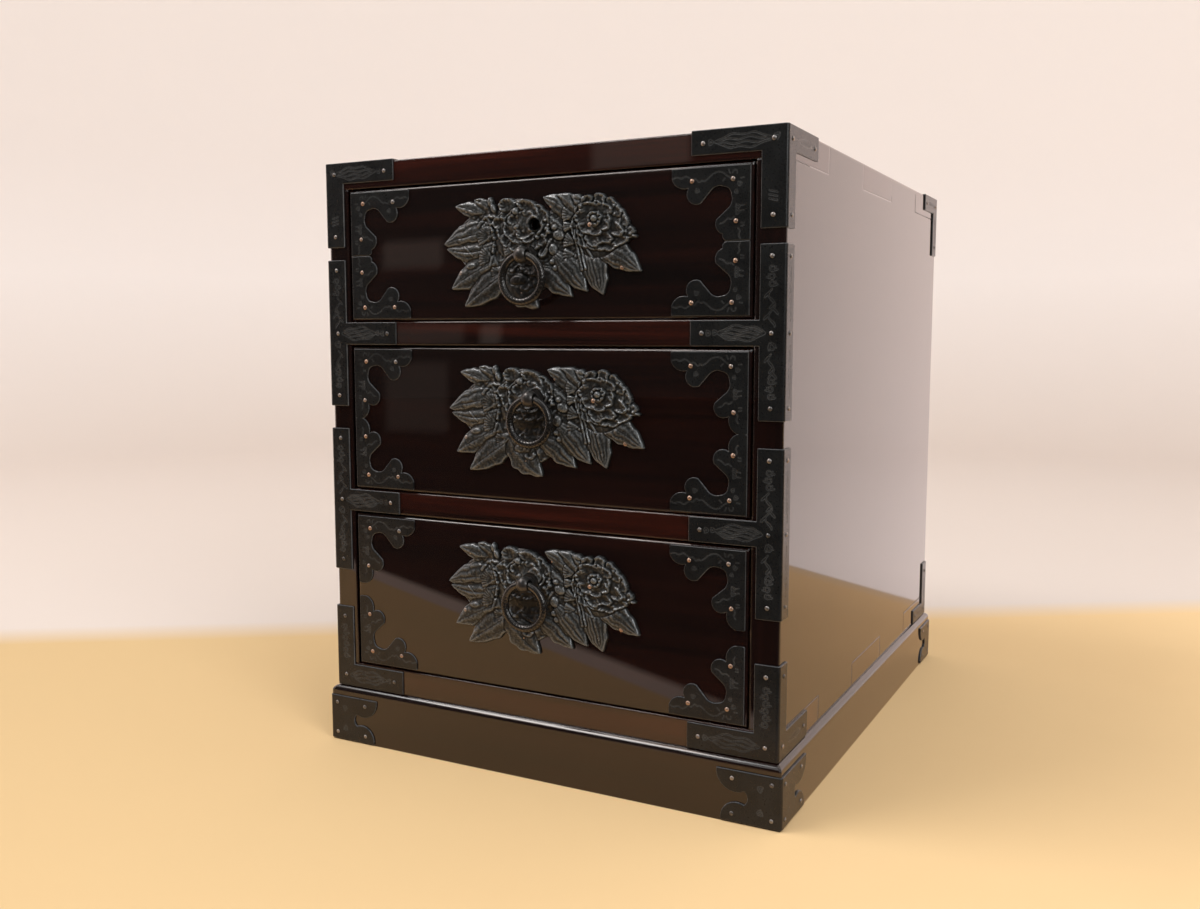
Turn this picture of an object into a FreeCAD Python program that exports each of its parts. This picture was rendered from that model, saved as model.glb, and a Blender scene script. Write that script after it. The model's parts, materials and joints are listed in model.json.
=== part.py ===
import FreeCAD, Part
import math
import os
import types

import Sketcher
from FreeCAD import Placement, Rotation, Vector

# A small lacquered clothing chest: a board case on a plinth, three drawers on dust boards,
# forged straps and corner irons, relief plates with ring pulls, and a lock in the top drawer.
# Millimetres. X runs to the right seen from the front, the front faces -Y, Z runs up.
# The origin lies on the floor under the middle of the whole chest.

doc = FreeCAD.newDocument("clothing_chest")
dims = doc.addObject("Spreadsheet::Sheet", "dims")

SIZES = {
    # Case boards
    "case_width": 360.0,
    "case_depth": 444.5,
    "side_thick": 19.5,
    "top_board_thick": 18.6,
    "bottom_board_thick": 19.3,
    "back_thick": 6.0,
    "panel_lap": 8.0,
    "corner_round": 3.0,
    "edge_ease": 0.8,
    # Drawer openings and the rails between them
    "top_opening": 97.9,
    "middle_opening": 109.5,
    "bottom_opening": 120.1,
    "rail_height": 17.25,
    "rail_depth": 30.0,
    "tenon_length": 6.0,
    "tenon_shoulder": 4.0,
    "dust_thick": 9.0,
    "dust_lap": 5.0,
    # Plinth
    "plinth_height": 43.3,
    "plinth_step": 4.1,
    "plinth_thick": 20.0,
    "bead_height": 6.4,
    # Drawers
    "drawer_lift": 0.3,
    "drawer_head_gap": 0.9,
    "drawer_side_gap": 1.2,
    "front_thick": 18.0,
    "front_chamfer": 1.6,
    "drawer_side_thick": 9.0,
    "drawer_floor_thick": 6.0,
    "front_rabbet": 10.0,
    "drawer_rim_drop": 2.0,
    "drawer_back_inset": 12.0,
    "dado_depth": 4.0,
    "stop_gap": 0.3,
    "stop_length": 14.2,
    "stop_width": 20.0,
    "stop_height": 8.0,
    "stop_place": 110.0,
    # Case straps
    "iron_thick": 1.3,
    "iron_fold": 2.4,
    "iron_edge": 0.5,
    "strap_width": 16.0,
    "strap_side_width": 14.0,
    "top_iron_reach": 62.6,
    "top_iron_side_reach": 60.0,
    "top_iron_drop": 61.0,
    "top_iron_band": 14.2,
    "tee_reach": 62.6,
    "tee_up": 46.6,
    "tee_down": 46.6,
    "tee_inset": 0.4,
    "bottom_iron_rise": 64.0,
    "bottom_iron_band": 18.2,
    "bottom_iron_side_reach": 59.0,
    "rear_iron_reach": 52.0,
    "rear_iron_band": 13.0,
    "rear_iron_drop": 52.0,
    "rear_iron_wrap": 16.0,
    # Plinth irons
    "plinth_iron_low": 1.0,
    "plinth_iron_high": 36.0,
    "plinth_iron_reach": 44.0,
    "plinth_iron_side_reach": 50.0,
    "plinth_rear_reach": 40.0,
    # Drawer corner irons
    "corner_iron_arm": 53.0,
    "corner_iron_rise": 52.0,
    "top_corner_iron_rise": 46.2,
    "corner_iron_inset": 2.0,
    "corner_iron_thick": 1.1,
    # Relief plates
    "plate_width": 156.0,
    "plate_height": 78.0,
    "plate_thick": 2.4,
    "bloom_radius": 25.0,
    "bloom_rise": 4.6,
    "petal_radius": 8.0,
    "petal_rise": 1.6,
    "bud_radius": 3.4,
    "top_plate_x": 5.5,
    "top_plate_z": 45.1,
    "middle_plate_x": 8.0,
    "middle_plate_z": 55.8,
    "bottom_plate_x": 5.2,
    "bottom_plate_z": 66.3,
    # Ring pulls and the eye posts that carry them
    "ring_radius": 15.75,
    "ring_wire": 5.5,
    "eye_out": 12.5,
    "eye_ball": 11.4,
    "eye_slack": 0.95,
    "eye_neck": 6.0,
    "eye_flange": 12.0,
    "eye_flange_thick": 1.2,
    "shank": 4.0,
    "shank_gap": 0.2,
    "shank_tail": 1.0,
    "washer": 13.0,
    "washer_thick": 2.5,
    "top_eye_x": -1.5,
    "top_eye_z": 43.8,
    "middle_eye_x": 3.6,
    "middle_eye_z": 73.3,
    "bottom_eye_x": -1.6,
    "bottom_eye_z": 81.2,
    # Nails
    "nail_head": 3.3,
    "nail_dome": 0.9,
    "nail_shank": 1.4,
    "nail_length": 9.0,
    # Lock
    "keyhole": 8.4,
    "key_x": 3.5,
    "key_z": 64.6,
    "lock_width": 44.0,
    "lock_height": 41.0,
    "lock_thick": 9.0,
    "lock_plate_thick": 1.2,
    "lock_floor": 3.0,
    "bolt_width": 20.0,
    "bolt_thick": 3.4,
    "bolt_height": 26.0,
    "bolt_gap": 0.3,
    "bolt_throw": 6.0,
    "mortise_end_gap": 2.0,
    "mortise_face_gap": 1.8,
    "mortise_spare": 3.0,
    "cut_overrun": 1.0,
}

FINGER_COUNT = 5
PETAL_COUNT = 9
CIRCLE_DEGREES = 360.0

for row, (alias, value) in enumerate(SIZES.items(), 1):
    dims.set(f"A{row}", alias)
    dims.set(f"B{row}", str(value))
    dims.setAlias(f"B{row}", alias)
doc.recompute()


# Sizes that carry their formula


class Size:
    """A length worked out from the sheet: its value now and the formula that binds it."""

    def __init__(self, value, formula):
        self.value = value
        self.formula = formula

    def joined(self, other, sign, value, flip=False):
        left, right = (formula_of(other), self.formula) if flip else (self.formula, formula_of(other))
        return Size(value, f"({left} {sign} {right})")

    def __add__(self, other):
        return self.joined(other, "+", self.value + number_of(other))

    def __radd__(self, other):
        return self.joined(other, "+", number_of(other) + self.value, flip=True)

    def __sub__(self, other):
        return self.joined(other, "-", self.value - number_of(other))

    def __rsub__(self, other):
        return self.joined(other, "-", number_of(other) - self.value, flip=True)

    def __mul__(self, other):
        return self.joined(other, "*", self.value * number_of(other))

    __rmul__ = __mul__

    def __truediv__(self, other):
        return self.joined(other, "/", self.value / number_of(other))

    def __neg__(self):
        return Size(-self.value, f"(0 - {self.formula})")


def number_of(length):
    return length.value if isinstance(length, Size) else float(length)


def formula_of(length):
    return length.formula if isinstance(length, Size) else f"({float(length)})"


s = types.SimpleNamespace(**{alias: Size(float(dims.get(alias)), f"dims.{alias}") for alias in SIZES})

# Places worked out from the sizes

half = s.case_width / 2
inner_half = half - s.side_thick
floor_top = s.plinth_height + s.bottom_board_thick
lower_rail_low = floor_top + s.bottom_opening
lower_rail_high = lower_rail_low + s.rail_height
upper_rail_low = lower_rail_high + s.middle_opening
upper_rail_high = upper_rail_low + s.rail_height
ceiling = upper_rail_high + s.top_opening
case_top = ceiling + s.top_board_thick
plinth_half = half + s.plinth_step
shank_hole = s.shank + s.shank_gap * 2
drawer_depth = s.case_depth - s.back_thick - s.stop_length - s.stop_gap

post_reach = s.eye_out + s.eye_ball / 2
rear_reach = s.case_depth + s.plinth_step + s.iron_thick
front_y = (post_reach - rear_reach) / 2


# Building blocks

PLANE_ROLES = {"XY": "XY_Plane", "XZ": "XZ_Plane", "YZ": "YZ_Plane"}
made_count = {}


def fresh_name(stem):
    made_count[stem] = made_count.get(stem, 0) + 1
    return f"{stem}_{made_count[stem]}"


def new_body(label, lift=0):
    """A body whose local frame has its y at the case front and its z at the given height."""
    body = doc.addObject("PartDesign::Body", label)
    body.Label = label
    place_in_chest(body, lift)
    return body


def place_in_chest(piece, lift=0):
    piece.setExpression(".Placement.Base.y", front_y.formula)
    piece.setExpression(".Placement.Base.z", formula_of(lift))


def outline(body, plane, offset, points, bulges=None):
    """A closed outline with every corner bound; bulges maps an edge to its arc's rise share."""
    bulges = bulges or {}
    sketch = body.newObject("Sketcher::SketchObject", fresh_name("outline"))
    role = PLANE_ROLES[plane]
    own_plane = next(item for item in body.Origin.OriginFeatures if item.Role == role)
    sketch.AttachmentSupport = [(own_plane, "")]
    sketch.MapMode = "FlatFace"
    sketch.setExpression(".AttachmentOffset.Base.z", formula_of(offset))
    corners = [Vector(number_of(u), number_of(v), 0) for u, v in points]
    ends = []
    for index, start in enumerate(corners):
        end = corners[(index + 1) % len(corners)]
        bulge = bulges.get(index, 0)
        if not bulge:
            edge = sketch.addGeometry(Part.LineSegment(start, end), False)
            ends.append((edge, 1, 2))
            continue
        chord = end - start
        crown = (start + end) / 2 + Vector(chord.y, -chord.x, 0) * bulge
        first, last = (start, end) if bulge > 0 else (end, start)
        edge = sketch.addGeometry(Part.Arc(first, crown, last), False)
        ends.append((edge, 1, 2) if bulge > 0 else (edge, 2, 1))
    for index, (edge, first, last) in enumerate(ends):
        next_edge, next_first, _ = ends[(index + 1) % len(ends)]
        sketch.addConstraint(Sketcher.Constraint("Coincident", edge, last, next_edge, next_first))
        u, v = points[index]
        bind(sketch, Sketcher.Constraint("DistanceX", -1, 1, edge, first, number_of(u)), u)
        bind(sketch, Sketcher.Constraint("DistanceY", -1, 1, edge, first, number_of(v)), v)
        if bulges.get(index, 0):
            bind_arc(sketch, edge, points[index], points[(index + 1) % len(points)], bulges[index])
    return sketch


def bind(sketch, constraint, length):
    number = sketch.addConstraint(constraint)
    sketch.setExpression(f"Constraints[{number}]", formula_of(length))


def bind_arc(sketch, edge, start, end, bulge):
    """An arc's radius follows from its chord and the share of it that it rises."""
    across = start[0] - end[0] + Size(0, "0")
    up = start[1] - end[1] + Size(0, "0")
    radius_share = (1 + 4 * bulge * bulge) / (8 * abs(bulge))
    radius = math.hypot(across.value, up.value) * radius_share
    formula = f"sqrt({across.formula} ^ 2 + {up.formula} ^ 2) * {radius_share}"
    bind(sketch, Sketcher.Constraint("Radius", edge, radius), Size(radius, formula))


def dome_arc_share(radius, rise):
    """The rise share of an arc from a dome's rim to its crown that is part of one sphere."""
    chord = math.hypot(number_of(radius), number_of(rise))
    sphere_radius = chord * chord / (2 * number_of(rise))
    return (sphere_radius - math.sqrt(sphere_radius * sphere_radius - chord * chord / 4)) / chord


def rectangle(low, high):
    return [(low[0], low[1]), (high[0], low[1]), (high[0], high[1]), (low[0], high[1])]


def pad(body, sketch, length):
    feature = body.newObject("PartDesign::Pad", fresh_name("pad"))
    feature.Profile = sketch
    feature.setExpression("Length", formula_of(length))
    return feature


def pocket(body, sketch, length, along_normal=False):
    """Cuts against the sketch's normal, or along it, and makes sure that something was cut."""
    doc.recompute()
    before = body.Shape.Volume
    feature = body.newObject("PartDesign::Pocket", fresh_name("pocket"))
    feature.Profile = sketch
    feature.Reversed = along_normal
    feature.setExpression("Length", formula_of(length))
    doc.recompute()
    if not body.Shape.Volume < before:
        raise RuntimeError(f"{body.Label}: {feature.Name} cuts nothing")
    return feature


def block(body, low, high):
    """An upright block of wood or metal between two corners."""
    return pad(body, outline(body, "XY", low[2], rectangle(low, high)), high[2] - low[2])


def notch(body, low, high):
    """A square-cut hollow between two corners."""
    return pocket(body, outline(body, "XY", high[2], rectangle(low, high)), high[2] - low[2])


def round_hole(body, plane, offset, centre, diameter, depth, along_normal=False):
    sketch = body.newObject("Sketcher::SketchObject", fresh_name("circle"))
    role = PLANE_ROLES[plane]
    own_plane = next(item for item in body.Origin.OriginFeatures if item.Role == role)
    sketch.AttachmentSupport = [(own_plane, "")]
    sketch.MapMode = "FlatFace"
    sketch.setExpression(".AttachmentOffset.Base.z", formula_of(offset))
    place = Vector(number_of(centre[0]), number_of(centre[1]), 0)
    circle = sketch.addGeometry(Part.Circle(place, Vector(0, 0, 1), number_of(diameter) / 2), False)
    bind(sketch, Sketcher.Constraint("DistanceX", -1, 1, circle, 3, place.x), centre[0])
    bind(sketch, Sketcher.Constraint("DistanceY", -1, 1, circle, 3, place.y), centre[1])
    bind(sketch, Sketcher.Constraint("Diameter", circle, number_of(diameter)), diameter)
    return pocket(body, sketch, depth, along_normal)


def soften(body, kind, size, wanted):
    """Rounds or chamfers those edges of the body so far that the test picks."""
    doc.recompute()
    base = body.Tip
    names = [f"Edge{number}" for number, edge in enumerate(base.Shape.Edges, 1) if wanted(edge)]
    if not names:
        raise RuntimeError(f"{body.Label}: no edge to soften")
    feature = body.newObject(f"PartDesign::{kind}", fresh_name(kind.lower()))
    feature.Base = (base, names)
    feature.setExpression("Radius" if kind == "Fillet" else "Size", formula_of(size))
    return feature


NEARNESS_SHARE = 0.001


def near(a, b):
    return abs(number_of(a) - number_of(b)) < number_of(s.cut_overrun) * NEARNESS_SHARE


def runs_along(edge, axis, at):
    """Whether an edge is straight along an axis and lies at the given other two coordinates."""
    if edge.Curve.TypeId != "Part::GeomLine":
        return False
    way = edge.tangentAt(edge.FirstParameter)
    if not near(abs(getattr(way, axis)), 1):
        return False
    middle = edge.CenterOfMass
    return all(near(getattr(middle, name), value) for name, value in at.items())


def mirrored(label, source, normal, base=(0, 0, 0)):
    twin = doc.addObject("Part::Mirroring", label)
    twin.Label = label
    twin.Source = source
    twin.Normal = Vector(*normal)
    for name, value in zip("xyz", base):
        if isinstance(value, Size):
            twin.setExpression(f".Base.{name}", value.formula)
    return twin


def grouped(label, pieces):
    """Several like pieces kept under one name, each still a solid of its own."""
    group = doc.addObject("Part::Compound", label)
    group.Label = label
    group.Links = pieces
    return group


sub_parts = []


def keep(piece):
    sub_parts.append(piece)
    return piece


# Case boards


def finger_steps(edge_out, edge_in):
    """Points down one end of a board: its odd fingers are cut back to take the other board."""
    pitch = s.case_depth / FINGER_COUNT
    points = []
    for finger in range(FINGER_COUNT):
        edge = edge_in if finger % 2 else edge_out
        points.append((edge, pitch * finger))
        points.append((edge, pitch * (finger + 1)))
    return points


def lid_or_floor(label, low, thickness, rebate_low, rebate_high):
    """The top or bottom board: finger-jointed ends and a rebate for the back panel."""
    body = new_body(label)
    right = finger_steps(half, inner_half)
    left = [(-x, y) for x, y in reversed(right)]
    pad(body, outline(body, "XY", low, right + left), thickness)
    lap = inner_half + s.panel_lap
    behind = s.case_depth + s.cut_overrun
    notch(body, (-lap, s.case_depth - s.back_thick, rebate_low), (lap, behind, rebate_high))
    soften(body, "Fillet", s.corner_round, is_front_corner)
    return body


def is_front_corner(edge):
    return runs_along(edge, "z", {"x": half, "y": 0}) or runs_along(edge, "z", {"x": -half, "y": 0})


top_board = lid_or_floor("top_board", ceiling, s.top_board_thick, ceiling, ceiling + s.panel_lap)
mortise_high = ceiling + s.bolt_throw + s.mortise_spare
mortise_mid_y = s.front_thick - s.lock_plate_thick - s.bolt_gap - s.bolt_thick / 2
mortise_half = s.bolt_width / 2 + s.mortise_end_gap
mortise_half_y = s.bolt_thick / 2 + s.mortise_face_gap
notch(
    top_board,
    (s.key_x - mortise_half, mortise_mid_y - mortise_half_y, ceiling),
    (s.key_x + mortise_half, mortise_mid_y + mortise_half_y, mortise_high),
)
keep(top_board)
keep(lid_or_floor("bottom_board", s.plinth_height, s.bottom_board_thick, floor_top - s.panel_lap, floor_top))


def side_board(label):
    """The right side board: fingers above and below, a rebate, mortises and housings inside."""
    body = new_body(label)
    top = [(y, z) for z, y in finger_steps(ceiling, case_top)]
    under = [(y, z) for z, y in reversed(finger_steps(floor_top, s.plinth_height))]
    pad(body, outline(body, "YZ", inner_half, under[::-1] + top[::-1]), s.side_thick)
    behind = s.case_depth + s.cut_overrun
    panel_low = (inner_half, s.case_depth - s.back_thick, floor_top - s.panel_lap)
    notch(body, panel_low, (inner_half + s.panel_lap, behind, ceiling + s.panel_lap))
    for rail_low, rail_high in ((lower_rail_low, lower_rail_high), (upper_rail_low, upper_rail_high)):
        notch(
            body,
            (inner_half, s.tenon_shoulder, rail_low + s.tenon_shoulder),
            (inner_half + s.tenon_length, s.rail_depth - s.tenon_shoulder, rail_high - s.tenon_shoulder),
        )
        notch(
            body,
            (inner_half, s.rail_depth, rail_high - s.dust_thick),
            (inner_half + s.dust_lap, s.case_depth - s.back_thick, rail_high),
        )
    soften(body, "Fillet", s.corner_round, is_front_corner)
    return body


right_side = keep(side_board("right_side_board"))
keep(mirrored("left_side_board", right_side, (1, 0, 0)))

back_panel = keep(new_body("back_panel"))
lap_half = inner_half + s.panel_lap
block(
    back_panel,
    (-lap_half, s.case_depth - s.back_thick, floor_top - s.panel_lap),
    (lap_half, s.case_depth, ceiling + s.panel_lap),
)


def rail(label, low, high):
    """A front rail with a stub tenon at each end, its two front edges eased."""
    body = new_body(label)
    block(body, (-inner_half, 0, low), (inner_half, s.rail_depth, high))
    reach = inner_half + s.tenon_length
    shoulder = s.tenon_shoulder
    block(body, (-reach, shoulder, low + shoulder), (reach, s.rail_depth - shoulder, high - shoulder))
    soften(
        body,
        "Fillet",
        s.edge_ease,
        lambda edge: runs_along(edge, "x", {"y": 0, "z": low}) or runs_along(edge, "x", {"y": 0, "z": high}),
    )
    return body


def dust_board(label, high):
    """A board behind a rail, flush with its top, on which the drawer above slides."""
    body = new_body(label)
    reach = inner_half + s.dust_lap
    rear = s.case_depth - s.back_thick
    block(body, (-reach, s.rail_depth, high - s.dust_thick), (reach, rear, high))
    return body


keep(rail("lower_rail", lower_rail_low, lower_rail_high))
keep(rail("upper_rail", upper_rail_low, upper_rail_high))
keep(dust_board("lower_dust_board", lower_rail_high))
keep(dust_board("upper_dust_board", upper_rail_high))


def drawer_stops(label):
    """Small blocks behind each drawer that stop it flush with the case front."""
    body = new_body(label)
    body.AllowCompound = True
    rear = s.case_depth - s.back_thick
    front = rear - s.stop_length
    for shelf in (floor_top, lower_rail_high, upper_rail_high):
        for place in (s.stop_place, -s.stop_place):
            low = (place - s.stop_width / 2, front, shelf)
            block(body, low, (place + s.stop_width / 2, rear, shelf + s.stop_height))
    return body


keep(drawer_stops("drawer_stops"))


# Plinth

BEAD_BULGE_SHARE = 0.22


def plinth_run(label, run_half, plane):
    """A long plinth moulding: flat face, rounded bead at the top outer edge."""
    body = new_body(label)
    outer = -s.plinth_step
    inner = s.plinth_thick - s.plinth_step
    shoulder = s.plinth_height - s.bead_height
    profile = [(inner, 0), (inner, s.plinth_height), (0, s.plinth_height), (outer, shoulder), (outer, 0)]
    profile = profile[::-1]
    pad(body, outline(body, plane, -run_half, profile, {1: -BEAD_BULGE_SHARE}), run_half * 2)
    return body


def mitred(label, body, points):
    """Keeps the part of a moulding that lies inside a plan with mitred ends."""
    plan = new_body(label + "_plan")
    pad(plan, outline(plan, "XY", 0, points), s.plinth_height)
    cut = doc.addObject("Part::Common", label)
    cut.Label = label
    cut.Base = body
    cut.Tool = plan
    return cut


rear_outer = s.case_depth + s.plinth_step
plan_out = -s.plinth_step
plan_in = s.plinth_thick - s.plinth_step
half_in = plinth_half - s.plinth_thick
front_plan = [(-plinth_half, plan_out), (plinth_half, plan_out), (half_in, plan_in), (-half_in, plan_in)]
front_moulding = plinth_run("front_moulding", plinth_half, "YZ")
plinth_front = keep(mitred("plinth_front_board", front_moulding, front_plan))
keep(mirrored("plinth_back_board", plinth_front, (0, 1, 0), (0, front_y + s.case_depth / 2, 0)))


def plinth_side(label):
    """The right-hand plinth board, drawn in its section and padded along the depth."""
    body = new_body(label + "_moulding")
    inner = plinth_half - s.plinth_thick
    shoulder = s.plinth_height - s.bead_height
    profile = [(inner, 0), (plinth_half, 0), (plinth_half, shoulder), (half, s.plinth_height)]
    profile.append((inner, s.plinth_height))
    section = outline(body, "XZ", -rear_outer, profile, {2: BEAD_BULGE_SHARE})
    pad(body, section, rear_outer + s.plinth_step)
    back_in = rear_outer - s.plinth_thick
    plan = [(plinth_half, plan_out), (plinth_half, rear_outer), (half_in, back_in), (half_in, plan_in)]
    return mitred(label, body, plan)


plinth_right = keep(plinth_side("plinth_right_board"))
keep(mirrored("plinth_left_board", plinth_right, (1, 0, 0)))


# Straps on the case


def strap(label, wrap_x, wrap_y, low, high, slabs):
    """A folded strap round the right front corner: plates on the front, the side and the top."""
    body = new_body(label)
    outer = half + s.iron_thick
    block(body, (half - wrap_x, -s.iron_thick, low), (outer, 0, high))
    block(body, (half, -s.iron_thick, low), (outer, wrap_y, high))
    for corner_low, corner_high in slabs:
        block(body, corner_low, corner_high)
    fold = {"x": outer, "y": -s.iron_thick}
    soften(body, "Fillet", s.iron_fold, lambda edge: runs_along(edge, "z", fold))
    return body


def front_slab(reach, low, high):
    return (half - reach, -s.iron_thick, low), (half, 0, high)


def side_slab(reach, low, high):
    return (half, 0, low), (half + s.iron_thick, reach, high)


def top_slabs(reach, side_reach, band):
    """The two arms that lie on the top board."""
    outer = half + s.iron_thick
    lid = case_top + s.iron_thick
    along_front = (half - reach, -s.iron_thick, case_top), (outer, band, lid)
    along_side = (half - band, -s.iron_thick, case_top), (outer, side_reach, lid)
    return [along_front, along_side]


def both_sides(name, right):
    keep(right)
    keep(mirrored("left_" + name, right, (1, 0, 0)))


top_slab_list = [
    front_slab(s.top_iron_reach, case_top - s.top_iron_band, case_top),
    side_slab(s.top_iron_side_reach, case_top - s.top_iron_band, case_top),
]
top_slab_list += top_slabs(s.top_iron_reach, s.top_iron_side_reach, s.top_iron_band)
both_sides(
    "top_corner_iron",
    strap(
        "right_top_corner_iron",
        s.strap_width,
        s.strap_side_width,
        case_top - s.top_iron_drop,
        case_top,
        top_slab_list,
    ),
)


def tee_iron(label, rail_low, rail_high):
    low = rail_low + s.tee_inset
    high = rail_high - s.tee_inset
    arm = front_slab(s.tee_reach, low, high)
    return strap(label, s.strap_width, s.strap_side_width, low - s.tee_down, high + s.tee_up, [arm])


both_sides("upper_t_iron", tee_iron("right_upper_t_iron", upper_rail_low, upper_rail_high))
both_sides("lower_t_iron", tee_iron("right_lower_t_iron", lower_rail_low, lower_rail_high))

bottom_low = s.plinth_height + s.iron_edge
bottom_band_high = s.plinth_height + s.bottom_iron_band
both_sides(
    "bottom_corner_iron",
    strap(
        "right_bottom_corner_iron",
        s.strap_width,
        s.strap_side_width,
        bottom_low,
        s.plinth_height + s.bottom_iron_rise,
        [
            front_slab(s.top_iron_reach, bottom_low, bottom_band_high),
            side_slab(s.bottom_iron_side_reach, bottom_low, bottom_band_high),
        ],
    ),
)


def rear_pair(label, low, high, band_low, band_high, extra):
    """Rear corner irons: the strap's mirror image across the case's middle, left and right."""
    wrap = s.rear_iron_wrap
    slabs = [side_slab(s.rear_iron_reach, band_low, band_high)] + extra
    front_like = strap(label + "_form", wrap, wrap, low, high, slabs)
    right = mirrored(label + "_right", front_like, (0, 1, 0), (0, front_y + s.case_depth / 2, 0))
    return grouped(label, [right, mirrored(label + "_left", right, (1, 0, 0))])


keep(
    rear_pair(
        "rear_top_corner_irons",
        case_top - s.rear_iron_drop,
        case_top,
        case_top - s.rear_iron_band,
        case_top,
        top_slabs(s.rear_iron_wrap, s.rear_iron_reach, s.rear_iron_band),
    )
)
keep(
    rear_pair(
        "rear_bottom_corner_irons",
        bottom_low,
        s.plinth_height + s.rear_iron_drop,
        bottom_low,
        s.plinth_height + s.rear_iron_band,
        [],
    )
)

# Shaped irons on the plinth: two lobes with a crescent bitten out between them
LOBE_HIGH_SHARE = 0.62
BITE_REACH_SHARE = 0.56
BITE_LOW_SHARE = 0.36
FOOT_REACH_SHARE = 0.93
LOBE_BULGE_SHARE = 0.3
BITE_BULGE_SHARE = -0.24


def lobed_end(root, reach, low, high):
    """From the low root point round the lobed free end to the high root point."""
    rise = high - low
    return [
        (root, low),
        (root + reach * FOOT_REACH_SHARE, low),
        (root + reach * BITE_REACH_SHARE, low + rise * BITE_LOW_SHARE),
        (root + reach * BITE_REACH_SHARE, low + rise * LOBE_HIGH_SHARE),
        (root + reach, high),
        (root, high),
    ]


def plinth_iron(label, reach, side_reach):
    """A plinth corner iron: one lobed plate on the front, one on the side, folded between."""
    body = new_body(label)
    low, high = s.plinth_iron_low, s.plinth_iron_high
    outer = plinth_half + s.iron_thick
    bulges = {1: LOBE_BULGE_SHARE, 2: BITE_BULGE_SHARE, 3: LOBE_BULGE_SHARE}
    side = lobed_end(-s.plinth_step, side_reach, low, high)
    pad(body, outline(body, "YZ", plinth_half, side, bulges), s.iron_thick)
    face = [(outer - u, z) for u, z in lobed_end(0, reach + s.iron_thick, low, high)][::-1]
    pad(body, outline(body, "XZ", s.plinth_step, face, bulges), s.iron_thick)
    fold = {"x": outer, "y": -s.plinth_step - s.iron_thick}
    soften(body, "Fillet", s.iron_edge, lambda edge: runs_along(edge, "z", fold))
    return body


front_right_iron = plinth_iron("plinth_iron_form", s.plinth_iron_reach, s.plinth_iron_side_reach)
front_left_iron = mirrored("plinth_iron_left", front_right_iron, (1, 0, 0))
keep(grouped("plinth_front_corner_irons", [front_right_iron, front_left_iron]))
rear_form = plinth_iron("plinth_rear_iron_form", s.plinth_rear_reach, s.plinth_rear_reach)
middle_plane = (0, front_y + s.case_depth / 2, 0)
rear_right_iron = mirrored("plinth_rear_iron_right", rear_form, (0, 1, 0), middle_plane)
rear_left_iron = mirrored("plinth_rear_iron_left", rear_right_iron, (1, 0, 0))
keep(grouped("plinth_rear_corner_irons", [rear_right_iron, rear_left_iron]))


# Nails

nail_form = new_body("nail_form")
head = s.nail_head / 2
pin = s.nail_shank / 2
nail_profile = [(0, s.nail_dome), (0, -s.nail_length), (pin, -s.nail_length), (pin, 0), (head, 0)]
nail_sketch = outline(nail_form, "XZ", 0, nail_profile, {4: dome_arc_share(head, s.nail_dome)})
nail_turn = nail_form.newObject("PartDesign::Revolution", "nail_turn")
nail_turn.Profile = nail_sketch
nail_turn.ReferenceAxis = (nail_sketch, ["V_Axis"])
nail_turn.Angle = CIRCLE_DEGREES
doc.recompute()
nail_shape = nail_turn.Shape

TO_FRONT = Rotation(Vector(0, 0, 1), Vector(0, -1, 0))
TO_RIGHT = Rotation(Vector(0, 0, 1), Vector(1, 0, 0))
TO_LEFT = Rotation(Vector(0, 0, 1), Vector(-1, 0, 0))


def nail_at(x, y, z, turn):
    nail = nail_shape.copy()
    place = Placement(Vector(number_of(x), number_of(y), number_of(z)), turn)
    nail.Placement = place.multiply(nail_shape.Placement)
    return nail


def placed_group(label, shapes, lift=0):
    """A node made of several loose solids, given the same placement as its neighbours."""
    piece = doc.addObject("Part::Feature", label)
    piece.Label = label
    piece.Shape = Part.makeCompound(shapes)
    piece.Placement = Placement(Vector(0, front_y.value, number_of(lift)), Rotation())
    return piece


NAIL_SET_SHARE = 0.5
PLINTH_NAIL_SHARE = 0.16
PLINTH_NAIL_INNER_SHARE = 0.32


def front_and_side_nails(across, side_deep, z):
    """One nail on each side's front strap and one on each side face, at one height."""
    face = -s.iron_thick
    cheek = half + s.iron_thick
    nails = [nail_at(half - across, face, z, TO_FRONT), nail_at(-half + across, face, z, TO_FRONT)]
    nails.append(nail_at(cheek, side_deep, z, TO_RIGHT))
    nails.append(nail_at(-cheek, side_deep, z, TO_LEFT))
    return nails


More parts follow.
